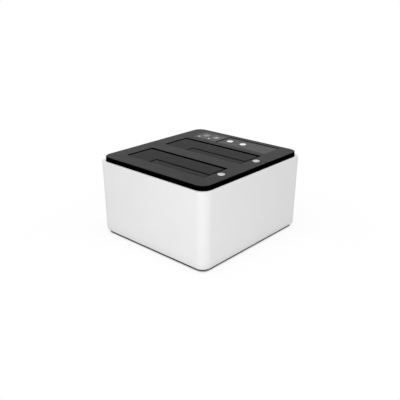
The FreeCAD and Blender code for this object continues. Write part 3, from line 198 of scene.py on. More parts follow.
def add_piece(name, bm, materials, body, stands_for=(), smooth_angle=30, weighted=False):
    """Turn a mesh under construction into a piece that rides on a body."""
    bmesh.ops.remove_doubles(bm, verts=bm.verts, dist=MERGE)
    bmesh.ops.recalc_face_normals(bm, faces=bm.faces)
    mesh = bpy.data.meshes.new(name)
    bm.to_mesh(mesh)
    bm.free()
    for material in materials:
        mesh.materials.append(material)
    mesh.polygons.foreach_set("use_smooth", [True] * len(mesh.polygons))
    mesh.set_sharp_from_angle(angle=math.radians(smooth_angle))
    piece = bpy.data.objects.new(name, mesh)
    bpy.context.scene.collection.objects.link(piece)
    if weighted:
        modifier = piece.modifiers.new("Flat faces", "WEIGHTED_NORMAL")
        modifier.keep_sharp = True
    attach(piece, body)
    if stands_for:
        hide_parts(*stands_for)
    return piece


def add_fixed(name, bm, slot, stands_for=(), smooth_angle=40, weighted=False):
    """A piece of the housing in the finish of its slot."""
    return add_piece(name, bm, [FINISHES[slot]], "housing", stands_for, smooth_angle, weighted)


def added(items, before):
    """What has been made since a set was taken."""
    return [item for item in items if item not in before]


def ring(bm, x_range, y_range, radius, level, steps=CORNER_STEPS, turn=None):
    """A rounded rectangle of edges at a level. The turn places it in another plane."""
    width = x_range[1] - x_range[0]
    depth = y_range[1] - y_range[0]
    centre = Vector(((x_range[0] + x_range[1]) / 2, (y_range[0] + y_range[1]) / 2, level))
    matrix = Matrix.Translation(centre) @ Matrix.Diagonal((width, depth, 1, 1))
    made = bmesh.ops.create_grid(bm, x_segments=1, y_segments=1, size=0.5, matrix=matrix)
    corners = made["verts"]
    before = set(bm.edges) - {edge for vert in corners for edge in vert.link_edges}
    bmesh.ops.bevel(bm, geom=corners, offset=radius, offset_type="OFFSET", segments=steps,
                    profile=0.5, affect="VERTICES", material=-1)
    edges = added(bm.edges, before)
    faces = [face for face in bm.faces if all(edge in edges for edge in face.edges)]
    bmesh.ops.delete(bm, geom=faces, context="FACES_ONLY")
    if turn:
        verts = list({vert for edge in edges for vert in edge.verts})
        bmesh.ops.transform(bm, matrix=turn, verts=verts)
    return edges


def circle(bm, centre, radius, level, steps=40):
    """A circle of edges at a level."""
    made = bmesh.ops.create_circle(bm, cap_ends=False, segments=steps, radius=radius,
                                   matrix=Matrix.Translation((centre[0], centre[1], level)))
    return list({edge for vert in made["verts"] for edge in vert.link_edges})


def bridge(bm, first, second):
    """Join two loops of edges with a strip of faces."""
    bmesh.ops.bridge_loops(bm, edges=first + second)


def fill(bm, loops):
    """Close the area between an outer loop and the holes in it."""
    edges = [edge for loop in loops for edge in loop]
    bmesh.ops.triangle_fill(bm, use_beauty=True, use_dissolve=False, edges=edges)


def drop(bm, loop, depth):
    """Carry a loop of edges straight down with a wall, and give the new lower loop."""
    made = bmesh.ops.extrude_edge_only(bm, edges=loop)["geom"]
    verts = [item for item in made if isinstance(item, bmesh.types.BMVert)]
    bmesh.ops.translate(bm, vec=(0, 0, -depth), verts=verts)
    return [item for item in made if isinstance(item, bmesh.types.BMEdge)
            and all(vert in verts for vert in item.verts)]


def grown(span, amount):
    """A range made longer at both ends."""
    return span[0] - amount, span[1] + amount


def rounding(reach, level, wide, tall, steps=5):
    """Points of a quarter arc, from just past its side to its top."""
    angles = [QUARTER * index / steps for index in range(1, steps + 1)]
    return [(reach + wide * math.cos(angle), level + tall * math.sin(angle)) for angle in angles]


def lathe(bm, profile, centre, steps=64):
    """Turned shape from (radius, height) points round an upright axis."""
    before = set(bm.verts)
    verts = [bm.verts.new((radius, 0, height)) for radius, height in profile]
    edges = [bm.edges.new(pair) for pair in zip(verts, verts[1:])]
    bmesh.ops.spin(bm, geom=verts + edges, cent=(0, 0, 0), axis=(0, 0, 1), angle=FULL_TURN,
                   steps=steps, use_merge=True)
    made = added(bm.verts, before)
    bmesh.ops.translate(bm, vec=centre, verts=made)
    bmesh.ops.remove_doubles(bm, verts=made, dist=MERGE)


def block(bm, centre, size, edge=0.0):
    """A small block, with softened edges where an edge is given."""
    matrix = Matrix.Translation(centre) @ Matrix.Diagonal((*size, 1))
    made = bmesh.ops.create_cube(bm, size=1, matrix=matrix)
    if edge:
        edges = list({item for vert in made["verts"] for item in vert.link_edges})
        bmesh.ops.bevel(bm, geom=edges, offset=edge, offset_type="OFFSET", segments=2, profile=0.5,
                        affect="EDGES", material=-1)


def cross_recess(bm, reach, slot, level, depth):
    """Floor and walls of a cross-shaped recess. Gives the loop of edges at its mouth."""
    verts = bmesh.ops.create_grid(bm, x_segments=3, y_segments=3, size=reach,
                                  matrix=Matrix.Translation((0, 0, level - depth)))["verts"]
    faces = list({face for vert in verts for face in vert.link_faces})
    for vert in verts:
        for axis in (0, 1):
            if abs(vert.co[axis]) < reach * 0.9:
                vert.co[axis] *= 1.5 * slot / reach
    centres = {face: face.calc_center_median() for face in faces}
    corners = [face for face in faces if min(abs(centres[face].x), abs(centres[face].y)) > slot / 2]
    bmesh.ops.delete(bm, geom=corners, context="FACES")
    outline = [edge for face in faces if face.is_valid for edge in face.edges if edge.is_boundary]
    return drop(bm, outline, -depth)


def screw(bm, place, head, shank_radius, length, downward=False):
    """Pan-head screw with a cross recess, its head's top at the given place."""
    radius, height = head
    soft = height * HEAD_SOFT
    before = set(bm.verts)
    profile = [*reversed(rounding(radius - soft, -soft, soft, soft)), (radius, -soft), (radius, -height),
               (shank_radius, -height), (shank_radius, -length + shank_radius), (0, -length)]
    lathe(bm, profile, (0, 0, 0), steps=28)
    rim = [edge for edge in bm.edges if edge.is_boundary and before.isdisjoint(edge.verts)]
    mouth = cross_recess(bm, radius * CROSS_REACH, radius * CROSS_SLOT, 0, height * CROSS_DEPTH)
    fill(bm, [rim, mouth])
    turn = Matrix.Rotation(2 * QUARTER if downward else 0, 4, "X")
    bmesh.ops.transform(bm, matrix=Matrix.Translation(place) @ turn, verts=added(bm.verts, before))


def middle(node):
    """Centre of a frame node's box."""
    low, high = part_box(node)
    return (low + high) / 2


def half_width(node):
    """Half of a frame node's size from left to right."""
    low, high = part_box(node)
    return (high.x - low.x) / 2


# ---- shared shader groups ----

def start_group(name, scale, inputs, outputs):
    """A shader group that reads a vector, a scale and further inputs, and puts out numbers."""
    tree = bpy.data.node_groups.new(name, "ShaderNodeTree")
    shared = [("Vector", "NodeSocketVector", None), ("Scale", "NodeSocketFloat", scale)]
    for label, kind, value in shared + inputs:
        item = tree.interface.new_socket(label, in_out="INPUT", socket_type=kind)
        if value is not None:
            item.default_value = value
    for label in outputs:
        tree.interface.new_socket(label, in_out="OUTPUT", socket_type="NodeSocketFloat")
    return tree, tree.nodes.new("NodeGroupInput").outputs, tree.nodes.new("NodeGroupOutput").inputs


def feed(tree, socket, value):
    """Give a socket a number, or the output that it reads."""
    if isinstance(value, (int, float)):
        socket.default_value = value
    else:
        tree.links.new(value, socket)


def math_node(tree, operation, first, second):
    """A Math node; each input is a number or an output."""
    node = tree.nodes.new("ShaderNodeMath")
    node.operation = operation
    for socket, value in zip(node.inputs, (first, second)):
        feed(tree, socket, value)
    return node.outputs["Value"]


def times(tree, first, second):
    """Product of two numbers or outputs."""
    return math_node(tree, "MULTIPLY", first, second)


def noise(tree, vector, scale, detail, roughness=0.5):
    """Noise at a scale that is a number or an output."""
    node = tree.nodes.new("ShaderNodeTexNoise")
    node.inputs["Detail"].default_value = detail
    node.inputs["Roughness"].default_value = roughness
    tree.links.new(vector, node.inputs["Vector"])
    feed(tree, node.inputs["Scale"], scale)
    return node.outputs["Fac"]


def ramp(tree, value, low, high, to_low=0.0, to_high=1.0):
    """Carry a value smoothly from one range to another."""
    node = tree.nodes.new("ShaderNodeMapRange")
    node.interpolation_type = "SMOOTHSTEP"
    node.inputs["From Min"].default_value = low
    node.inputs["From Max"].default_value = high
    node.inputs["To Min"].default_value = to_low
    node.inputs["To Max"].default_value = to_high
    tree.links.new(value, node.inputs["Value"])
    return node.outputs["Result"]


def make_grain_group():
    """Fine moulding or paint grain, small speckle, and slow unevenness of tone."""
    tree, given, out = start_group("Moulding grain", 3000.0, [], ("Height", "Speckle", "Tone"))
    vector, scale = given["Vector"], given["Scale"]
    tree.links.new(noise(tree, vector, scale, 3.0, 0.6), out["Height"])
    speckle = noise(tree, vector, times(tree, scale, 0.35), 2.0, 0.6)
    tree.links.new(ramp(tree, speckle, 0.36, 0.64), out["Speckle"])
    tone = noise(tree, vector, times(tree, scale, 0.02), 4.0)
    tree.links.new(ramp(tree, tone, 0.3, 0.7), out["Tone"])
    return tree


def make_wear_group():
    """Rubbed patches with fine scuffs in them."""
    tree, given, out = start_group("Handling wear", 40.0, [("Amount", "NodeSocketFloat", 0.3)], ["Mask"])
    vector, scale = given["Vector"], given["Scale"]
    patches = ramp(tree, noise(tree, vector, scale, 3.0), 0.5, 0.72)
    scuffs = ramp(tree, noise(tree, vector, times(tree, scale, 30.0), 5.0, 0.7), 0.45, 0.75)
    tree.links.new(times(tree, times(tree, patches, scuffs), given["Amount"]), out["Mask"])
    return tree


def make_dust_group():
    """Specks that settle on what faces up."""
    tree, given, out = start_group("Settled dust", 2500.0, [("Amount", "NodeSocketFloat", 0.2)], ["Mask"])
    surface = tree.nodes.new("ShaderNodeNewGeometry")
    split = tree.nodes.new("ShaderNodeSeparateXYZ")
    tree.links.new(surface.outputs["Normal"], split.inputs["Vector"])
    upward = ramp(tree, split.outputs["Z"], 0.4, 0.95)
    specks = ramp(tree, noise(tree, given["Vector"], given["Scale"], 2.0), 0.62, 0.74)
    tree.links.new(times(tree, times(tree, upward, specks), given["Amount"]), out["Mask"])
    return tree


def make_brush_group():
    """Fine parallel lines of brushed or turned metal, or of a brushed skin on plastic."""
    tree, given, out = start_group(
        "Brushed lines", 4000.0, [("Stretch", "NodeSocketVector", (0.03, 1.0, 1.0))], ["Height"])
    stretch = tree.nodes.new("ShaderNodeMapping")
    tree.links.new(given["Vector"], stretch.inputs["Vector"])
    tree.links.new(given["Stretch"], stretch.inputs["Scale"])
    tree.links.new(noise(tree, stretch.outputs["Vector"], given["Scale"], 5.0, 0.65), out["Height"])
    return tree


GRAIN = make_grain_group()
WEAR = make_wear_group()
DUST = make_dust_group()
BRUSH = make_brush_group()


# ---- finishes ----

class Finish:
    """A material with one shader, built up effect by effect."""

    def __init__(self, name, colour, roughness, metallic=0.0, specular=0.5):
        self.material = bpy.data.materials.new(name)
        self.material.use_nodes = True
        self.tree = self.material.node_tree
        self.shader = self.tree.nodes["Principled BSDF"]
        self.shader.inputs["Base Color"].default_value = (*colour, 1)
        self.shader.inputs["Roughness"].default_value = roughness
        self.shader.inputs["Metallic"].default_value = metallic
        self.shader.inputs["Specular IOR Level"].default_value = specular
        self.place = self.tree.nodes.new("ShaderNodeTexCoord").outputs["Object"]
        self.colour = None
        self.base = colour
        self.gloss = None
        self.roughness = roughness
        self.bump = None

    def group(self, tree, **values):
        """Place a shared group with this material's own values."""
        node = self.tree.nodes.new("ShaderNodeGroup")
        node.node_tree = tree
        self.tree.links.new(self.place, node.inputs["Vector"])
        for label, value in values.items():
            node.inputs[label].default_value = value
        return node

    def tint(self, mask, colour):
        """Blend the colour towards another where a mask is high."""
        node = self.tree.nodes.new("ShaderNodeMix")
        node.data_type = "RGBA"
        if self.colour is None:
            node.inputs["A"].default_value = (*self.base, 1)
        else:
            self.tree.links.new(self.colour, node.inputs["A"])
        node.inputs["B"].default_value = (*colour, 1)
        self.tree.links.new(mask, node.inputs["Factor"])
        self.colour = node.outputs["Result"]
        self.tree.links.new(self.colour, self.shader.inputs["Base Color"])

    def polish(self, mask, roughness):
        """Blend the roughness towards another where a mask is high."""
        node = self.tree.nodes.new("ShaderNodeMix")
        if self.gloss is None:
            node.inputs["A"].default_value = self.roughness
        else:
            self.tree.links.new(self.gloss, node.inputs["A"])
        node.inputs["B"].default_value = roughness
        self.tree.links.new(mask, node.inputs["Factor"])
        self.gloss = node.outputs["Result"]
        self.tree.links.new(self.gloss, self.shader.inputs["Roughness"])

    def relief(self, height, depth):
        """Raise the surface by a height map."""
        node = self.tree.nodes.new("ShaderNodeBump")
        node.inputs["Distance"].default_value = depth
        node.inputs["Strength"].default_value = 1.0
        self.tree.links.new(height, node.inputs["Height"])
        if self.bump is not None:
            self.tree.links.new(self.bump, node.inputs["Normal"])
        self.bump = node.outputs["Normal"]
        self.tree.links.new(self.bump, self.shader.inputs["Normal"])

    def position(self):
        """Object coordinates, split."""
        node = self.tree.nodes.new("ShaderNodeSeparateXYZ")
        self.tree.links.new(self.place, node.inputs["Vector"])
        return node.outputs


def shade(colour, factor):
    """A colour made lighter or darker."""
    return tuple(min(1.0, part * factor) for part in colour)


def grey(level, warmth=0.0):
    """Near-neutral colour from a display level of 0 to 255."""
    part = level / 255
    linear = part / 12.92 if part <= 0.04045 else ((part + 0.055) / 1.055) ** 2.4
    return linear * (1 + warmth), linear, linear * (1 - warmth)


def moulded(name, colour, roughness, scale, tone, depth=0.01 * MM, wear=0.25, dust=0.0, metallic=0.0,
            specular=0.5, speckle=0.0, hairline=0.0):
    """Moulded, painted or cast finish with grain, uneven tone, hairlines, rubbed patches and dust."""
    finish = Finish(name, colour, roughness, metallic, specular)
    grain = finish.group(GRAIN, Scale=scale)
    finish.tint(grain.outputs["Tone"], shade(colour, 1 - tone))
    if hairline:
        lines = finish.group(BRUSH, Scale=HAIRLINE_SCALE, Stretch=HAIRLINE_STRETCH).outputs["Height"]
        finish.tint(ramp(finish.tree, lines, 0.4, 0.62), shade(colour, 1 + hairline))
    if speckle:
        pale = times(finish.tree, grain.outputs["Speckle"], 0.5)
        finish.tint(pale, shade(colour, 1 + 2 * speckle))
    rubbed = finish.group(WEAR, Amount=wear).outputs["Mask"]
    finish.tint(rubbed, shade(colour, 1 + tone * 2))
    finish.polish(rubbed, roughness * 0.6)
    if dust:
        specks = finish.group(DUST, Amount=dust).outputs["Mask"]
        finish.tint(specks, grey(150))
        finish.polish(specks, 0.8)
    finish.relief(grain.outputs["Height"], depth)
    return finish


def shade_below_face(finish, node, colour):
    """Keep a finish to a node's top face, and give its edges and underside a darker colour: painted shade."""
    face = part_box(node)[1].z - FACE_DEPTH
    below = ramp(finish.tree, finish.position()["Z"], face - FACE_DEPTH, face, 1.0, 0.0)
    finish.tint(below, colour)
    return finish


def metal(name, colour, roughness, wear=0.3):
    """Bare or plated metal with fine lines and rubbed patches."""
    finish = Finish(name, colour, roughness, metallic=1.0)
    lines = finish.group(BRUSH).outputs["Height"]
    finish.polish(lines, roughness * 1.5)
    rubbed = finish.group(WEAR, Scale=90.0, Amount=wear).outputs["Mask"]
    finish.tint(rubbed, shade(colour, 0.75))
    finish.relief(lines, METAL_DEPTH)
    return finish


def make_shell_finish():
    """Satin white shell: fine grain, and a little darker towards the bottom."""
    finish = moulded("shell paint", grey(231), 0.38, scale=2600.0, depth=0.006 * MM, tone=0.012, wear=0.1,
                     specular=0.2)
    # Darker towards the bottom.
    low_down = ramp(finish.tree, finish.position()["Z"], *LOW_DARKENING, 1.0, 0.0)
    finish.tint(times(finish.tree, low_down, 0.12), grey(150, 0.02))
    return finish


def make_cover_finish():
    """Cover's top: matt and grained, with a paler lamp window."""
    finish = moulded("cover plastic", grey(21), 0.45, scale=1500.0, depth=0.03 * MM, tone=0.2, wear=0.35,
                     dust=0.2, specular=0.075, speckle=0.4, hairline=2.0)
    lamp = middle("lamp_lens_left")
    panel_low, panel_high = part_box("control_panel")
    place = finish.position()
    left = ramp(finish.tree, place["X"], lamp.x - 6 * MM, lamp.x - 4 * MM)
    right = ramp(finish.tree, place["X"], panel_low.x - 1.2 * MM, panel_low.x - 0.7 * MM, 1.0, 0.0)
    front = ramp(finish.tree, place["Y"], panel_low.y, panel_low.y + 2 * MM)
    rear = ramp(finish.tree, place["Y"], panel_high.y - 3 * MM, panel_high.y - 1 * MM, 1.0, 0.0)
    window = times(finish.tree, times(finish.tree, left, right), times(finish.tree, front, rear))
    finish.tint(times(finish.tree, window, 0.8), grey(86))
    return finish


def make_board_finish():
    """Green solder mask with copper tracks that show through."""
    finish = Finish("solder mask", (0.008, 0.085, 0.03), 0.3)
    grain = finish.group(GRAIN, Scale=1800.0)
    finish.tint(grain.outputs["Tone"], (0.006, 0.065, 0.024))
    tracks = finish.tree.nodes.new("ShaderNodeTexBrick")
    tracks.inputs["Scale"].default_value = 180.0
    tracks.inputs["Mortar Size"].default_value = 0.03
    tracks.inputs["Brick Width"].default_value = 1.6
    tracks.inputs["Color1"].default_value = (0, 0, 0, 1)
    tracks.inputs["Color2"].default_value = (0, 0, 0, 1)
    tracks.inputs["Mortar"].default_value = (1, 1, 1, 1)
    finish.tree.links.new(finish.place, tracks.inputs["Vector"])
    finish.tint(times(finish.tree, tracks.outputs["Fac"], 0.6), (0.03, 0.2, 0.07))
    finish.relief(tracks.outputs["Fac"], 0.03 * MM)
    return finish


def make_ribbon_finish():
    """Grey flat cable with a ridge for each wire, painted shade between them, and one red edge."""
    finish = Finish("flat cable", grey(168), 0.45)
    edge_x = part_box("ribbon_cable")[0].x
    place = finish.position()
    pitch = 1.0 * MM
    phase = times(finish.tree, place["X"], FULL_TURN / pitch)
    wave = math_node(finish.tree, "SINE", phase, 0)
    grain = finish.group(GRAIN, Scale=2500.0)
    finish.tint(grain.outputs["Tone"], grey(158))
    # Painted shade in the grooves between the wires.
    finish.tint(ramp(finish.tree, wave, -1.0, -0.6, 0.5, 0.0), grey(110))
    edge = ramp(finish.tree, place["X"], edge_x + 0.9 * MM, edge_x + 1.0 * MM, 1.0, 0.0)
    finish.tint(edge, (0.45, 0.03, 0.03))
    finish.relief(wave, 0.15 * MM)
    return finish


def make_lens_finish():
    """Frosted clear moulding."""
    finish = Finish("frosted lens", grey(238), 0.28, specular=0.5)
    grain = finish.group(GRAIN, Scale=3500.0)
    finish.tint(grain.outputs["Tone"], grey(226))
    finish.relief(grain.outputs["Height"], 0.008 * MM)
    return finish


# Painted shade: near-black for the sides and edges of the cover, doors and flaps.
SHADE_BLACK = grey(3)
# Painted shade: grey for the rims and sides of the button caps.
RIM_SHADE_GREY = grey(110)
FINISHES = {
    "shell_white": make_shell_finish(),
    "cover_black": make_cover_finish(),
    # Door plastic with painted shade on its edges and underside.
    "door_black": shade_below_face(
        moulded("door plastic", grey(15), 0.45, scale=1500.0, depth=0.03 * MM, tone=0.2, wear=0.35,
                dust=0.1, specular=0.037, speckle=0.4, hairline=2.6), "drive_door_front", SHADE_BLACK),
    "panel_grey": moulded("panel film", grey(70), 0.5, scale=2200.0, depth=0.012 * MM, tone=0.1, wear=0.3,
                          dust=0.15, specular=0.1, speckle=0.15),
    "base_black": moulded("base plastic", grey(20), 0.7, scale=1200.0, depth=0.04 * MM, tone=0.15,
                          wear=0.3, specular=0.04),
    "rubber": moulded("rubber", grey(34), 0.82, scale=1600.0, depth=0.03 * MM, tone=0.2, wear=0.5,
                      specular=0.2),
    "steel": metal("zinc plated steel", (0.56, 0.57, 0.58), 0.32),
    # Silvered cap with painted shade on its rim and side.
    "button_silver": shade_below_face(
        moulded("silvered plastic", grey(190), 0.4, scale=3500.0, depth=0.004 * MM, tone=0.04, wear=0.4,
                metallic=0.55), "eject_button_front", RIM_SHADE_GREY),
    "works_plastic": moulded("bay plastic", grey(84), 0.5, scale=1100.0, depth=0.035 * MM, tone=0.15,
                             wear=0.45, dust=0.1),
    "lever_plastic": moulded("lever plastic", grey(205, 0.03), 0.4, scale=2000.0, tone=0.05),
    "lens": make_lens_finish(),
    "board_green": make_board_finish(),
    "connector_black": moulded("connector plastic", grey(36), 0.38, scale=2400.0, tone=0.1),
    "can_silver": metal("can sleeve", (0.62, 0.63, 0.65), 0.25, wear=0.15),
    "ribbon_grey": make_ribbon_finish(),
}
FINISHES = {slot: finish.material for slot, finish in FINISHES.items()}
GOLD = metal("gilt contacts", (0.83, 0.6, 0.24), 0.22, wear=0.2).material
# Painted shade: the cover's upright and downward faces, bay walls included, in a near-black copy of its own
# plastic.
COVER_SIDE_SHADE = moulded("cover side shade", SHADE_BLACK, 0.5, scale=1500.0, tone=0.3, wear=0.2, specular=0.0).material
# Flap plastic with painted shade on its edges and underside.
FLAP = shade_below_face(
    moulded("flap plastic", grey(23), 0.5, scale=1500.0, depth=0.03 * MM, tone=0.2, wear=0.35, dust=0.2,
            specular=0.035, speckle=0.4, hairline=2.0), "small_flap_front", SHADE_BLACK).material
MARK = moulded("pad-printed mark", grey(228), 0.5, scale=5000.0, depth=0.004 * MM, tone=0.1,
               wear=0.3).material
# White cap with painted shade on its rim and side.
BUTTON_WHITE = shade_below_face(
    moulded("button cap", grey(240), 0.3, scale=3500.0, depth=0.004 * MM, tone=0.03, wear=0.3),
    "mode_button", RIM_SHADE_GREY).material


def dress_frame_nodes():
    """Give every node of the frame the finish of its slot."""
    slots = {part["node"]: part["material_slot"] for part in frame["record"]["subparts"]}
    for name, piece in frame["nodes"].items():
        slot = slots[name]
        piece.data.materials.clear()
        piece.data.materials.append(FLAP if name in FLAPS else FINISHES[slot])


# ---- housing ----

def rounded_edge(bm, wide, deep, corner, level, radius, upward, steps=6):
    """Loops that round a level edge: the first on the wall, the last on the flat."""
    loops = []
    for index in range(steps + 1):
        angle = QUARTER * index / steps
        inset = radius * (1 - math.cos(angle))
        rise = radius * (1 - math.sin(angle))
        height = level - rise if upward else level + rise
        loops.append(ring(bm, grown(wide, -inset), grown(deep, -inset), corner - inset, height))
    for first, second in zip(loops, loops[1:]):
        bridge(bm, first, second)
    return loops[0], loops[-1]


def make_shell():
    """White shell: four walls in one band, rounded foot, soft rim, the ledge and the rear window."""
    low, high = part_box("outer_shell")
    wide = (low.x, high.x)
    deep = (low.y, high.y)
    inner_wide = grown(wide, -SHELL_WALL)
    inner_deep = grown(deep, -SHELL_WALL)
    bm = bmesh.new()
    foot_side, foot_flat = rounded_edge(bm, wide, deep, SHELL_CORNER, low.z, SHELL_FOOT, False, 8)
    rim_side, rim_flat = rounded_edge(bm, wide, deep, SHELL_CORNER, high.z, SHELL_RIM, True, 4)
    bridge(bm, foot_side, rim_side)
    inner_foot = ring(bm, inner_wide, inner_deep, RIM_CORNER, low.z)
    inner_rim = ring(bm, inner_wide, inner_deep, RIM_CORNER, high.z)
    fill(bm, [foot_flat, inner_foot])
    bridge(bm, inner_foot, inner_rim)
    fill(bm, [rim_flat, inner_rim])
    cut_rear_window(bm, high.y)
    add_fixed("shell_walls", bm, "shell_white", ["outer_shell"], smooth_angle=30, weighted=True)

    bm = bmesh.new()
    ledge_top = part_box("top_cover")[1].z - SKIRT_DEPTH
    band(bm, inner_wide, inner_deep, RIM_CORNER, LEDGE_WIDTH, ledge_top - LEDGE_THICK, ledge_top)
    add_fixed("shell_ledge", bm, "shell_white", smooth_angle=30, weighted=True)


def band(bm, wide, deep, radius, wall, foot, top):
    """Hollow rounded band between two levels."""
    outer = [ring(bm, wide, deep, radius, level) for level in (foot, top)]
    inner = [ring(bm, grown(wide, -wall), grown(deep, -wall), radius - wall, level)
             for level in (foot, top)]
    bridge(bm, *outer)
    bridge(bm, *inner)
    for outer_loop, inner_loop in zip(outer, inner):
        fill(bm, [outer_loop, inner_loop])


def cut_rear_window(bm, rear):
    """Open the rear wall of the shell for the port plate."""
    low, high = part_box("rear_port_plate")
    wide = grown((low.x, high.x), -WINDOW_LAP)
    tall = grown((low.z, high.z), -WINDOW_LAP)
    turn = Matrix.Rotation(QUARTER, 4, "X")
    reveal = []
    for level in (rear, rear - SHELL_WALL):
        flat = [face for face in bm.faces if all(abs(vert.co.y - level) < 1e-6 for vert in face.verts)]
        wall = max(flat, key=lambda face: face.calc_area())
        outline = list(wall.edges)
        bmesh.ops.delete(bm, geom=[wall], context="FACES_ONLY")
        hole = ring(bm, wide, tall, WINDOW_ROUND, -level, steps=6, turn=turn)
        fill(bm, [outline, hole])
        reveal.append(hole)
    bridge(bm, *reveal)


def bay_openings():
    """The two bay openings, as an x range and a y range each."""
    found = []
    for side in SIDES:
        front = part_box("drive_door_" + side)[0].y - DOOR_GAP
        found.append(((-BAY_WIDTH / 2, BAY_WIDTH / 2), (front, front + BAY_DEPTH)))
    return found


def make_cover():
    """Dark cover: softened edge, skirt, bay openings, control recess and button holes."""
    low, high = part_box("top_cover")
    wide = (low.x, high.x)
    deep = (low.y, high.y)
    top = high.z
    under = top - PLATE_THICK
    skirt_foot = top - SKIRT_DEPTH
    bm = bmesh.new()
    side, crown = rounded_edge(bm, wide, deep, COVER_CORNER, top, COVER_EDGE, True, 5)
    foot = ring(bm, wide, deep, COVER_CORNER, skirt_foot)
    bridge(bm, foot, side)

    holes = []
    under_holes = []
    for x_range, y_range in bay_openings():
        mouth = ring(bm, grown(x_range, BAY_BEVEL), grown(y_range, BAY_BEVEL), BAY_ROUND + BAY_BEVEL, top,
                     steps=5)
        throat = ring(bm, x_range, y_range, BAY_ROUND, top - BAY_BEVEL, steps=5)
        bridge(bm, mouth, throat)
        holes.append(mouth)
        under_holes.append(drop(bm, throat, PLATE_THICK - BAY_BEVEL))
    rounds = [("eject_button_" + side, half_width("eject_button_" + side) + BUTTON_GAP, 40) for side in SIDES]
    rounds += [("lamp_lens_" + side, LENS_RADIUS + LENS_GAP, 24) for side in ("left", "right")]
    for node, radius, steps in rounds:
        mouth = circle(bm, middle(node), radius, top, steps)
        holes.append(mouth)
        under_holes.append(drop(bm, mouth, PLATE_THICK))
    panel_low, panel_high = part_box("control_panel")
    recess = ring(bm, grown((panel_low.x, panel_high.x), RECESS_GAP),
                  grown((panel_low.y, panel_high.y), RECESS_GAP), BAY_ROUND, top, steps=5)
    holes.append(recess)
    recess_foot = drop(bm, recess, RECESS_DEPTH)
    floor_holes = []
    for label in ("mode_button", "start_button"):
        mouth = circle(bm, middle(label), KEY_HOLE, top - RECESS_DEPTH)
        floor_holes.append(mouth)
        under_holes.append(drop(bm, mouth, PLATE_THICK - RECESS_DEPTH))
    fill(bm, [recess_foot, *floor_holes])
    fill(bm, [crown, *holes])

    inner = [ring(bm, grown(wide, -SKIRT_WALL), grown(deep, -SKIRT_WALL), COVER_CORNER - SKIRT_WALL, level)
             for level in (under, skirt_foot)]
    fill(bm, [inner[0], *under_holes])
    bridge(bm, *inner)
    fill(bm, [foot, inner[1]])
    bmesh.ops.remove_doubles(bm, verts=bm.verts, dist=MERGE)
    bmesh.ops.recalc_face_normals(bm, faces=bm.faces)
    # Faces that don't face up take the near-black side material, which is painted shade.
    for face in bm.faces:
        face.material_index = 0 if face.normal.z > 0.8 else 1
    add_piece("cover_plate", bm, [FINISHES["cover_black"], COVER_SIDE_SHADE], "housing",
              ["top_cover"], weighted=True)


# ---- buttons, lamps and marks ----

def make_eject_button(side):
    """Silvered cap with a shallow dish and a softened rim."""
    node = "eject_button_" + side
    low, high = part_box(node)
    radius = half_width(node)
    profile = [(0, low.z - high.z), (radius, low.z - high.z), (radius, -CAP_SOFT)]
    profile += rounding(radius - CAP_SOFT, -CAP_SOFT, CAP_SOFT, CAP_SOFT)
    flat = radius - CAP_SOFT - 0.25 * MM
    for index in range(7):
        reach = 1 - index / 6
        profile.append((flat * reach, -CAP_DISH * (1 - reach * reach)))
    bm = bmesh.new()
    centre = middle(node)
    lathe(bm, profile, (centre.x, centre.y, high.z))
    add_piece("eject_cap_" + side, bm, [FINISHES["button_silver"]], node, [node],
              smooth_angle=40)


def make_control_button(label):
    """White cap on a flanged stem, slightly crowned."""
    low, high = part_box(label)
    flange = half_width(label)
    foot = low.z - high.z
    flange_foot = -KEY_SHOULDER - KEY_FLANGE
    side = -KEY_SOFT - KEY_CROWN
    profile = [(0, foot), (KEY_STEM, foot), (KEY_STEM, flange_foot), (flange, flange_foot),
               (flange, -KEY_SHOULDER), (KEY_RADIUS, -KEY_SHOULDER), (KEY_RADIUS, side)]
    profile += rounding(KEY_RADIUS - KEY_SOFT, side, KEY_SOFT, KEY_SOFT)
    for index in range(1, 6):
        reach = 1 - index / 5
        profile.append(((KEY_RADIUS - KEY_SOFT) * reach, -KEY_CROWN * reach * reach))
    bm = bmesh.new()
    centre = middle(label)
    lathe(bm, profile, (centre.x, centre.y, high.z))
    add_piece(label + "_cap", bm, [BUTTON_WHITE], label, [label], smooth_angle=40)


def make_lamp(side):
    """Lamp lens with a domed head."""
    node = "lamp_lens_" + side
    low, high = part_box(node)
    flange = half_width(node)
    plate = high.z - 0.1 * MM - PLATE_THICK
    shoulder = high.z - LENS_DOME
    profile = [(0, low.z), (LENS_RADIUS, low.z), (LENS_RADIUS, plate - LENS_FLANGE),
               (flange, plate - LENS_FLANGE), (flange, plate), (LENS_RADIUS, plate), (LENS_RADIUS, shoulder)]
    profile += rounding(0, shoulder, LENS_RADIUS, LENS_DOME, steps=6)
    bm = bmesh.new()
    centre = middle(node)
    lathe(bm, profile, (centre.x, centre.y, 0), steps=32)
    add_fixed("lamp_window_" + side, bm, "lens", [node])


def make_number(text, centre, size, level, name):
    """A plain printed number, a little proud of the surface."""
    curve = bpy.data.curves.new(name, "FONT")
    curve.body = text
    curve.size = size
    curve.align_x = "CENTER"
    curve.align_y = "CENTER"
    curve.extrude = (INK_RISE + INK_FOOT) / 2
    curve.offset = INK_SPREAD
    text_piece = bpy.data.objects.new(name + "_text", curve)
    bpy.context.scene.collection.objects.link(text_piece)
    bpy.context.view_layer.update()
    mesh = bpy.data.meshes.new_from_object(text_piece)
    bpy.data.objects.remove(text_piece)
    mesh.transform(Matrix.Translation((centre[0], centre[1], level + (INK_RISE - INK_FOOT) / 2)))
    bm = bmesh.new()
    bm.from_mesh(mesh)
    bpy.data.meshes.remove(mesh)
    add_piece(name, bm, [MARK], "housing")


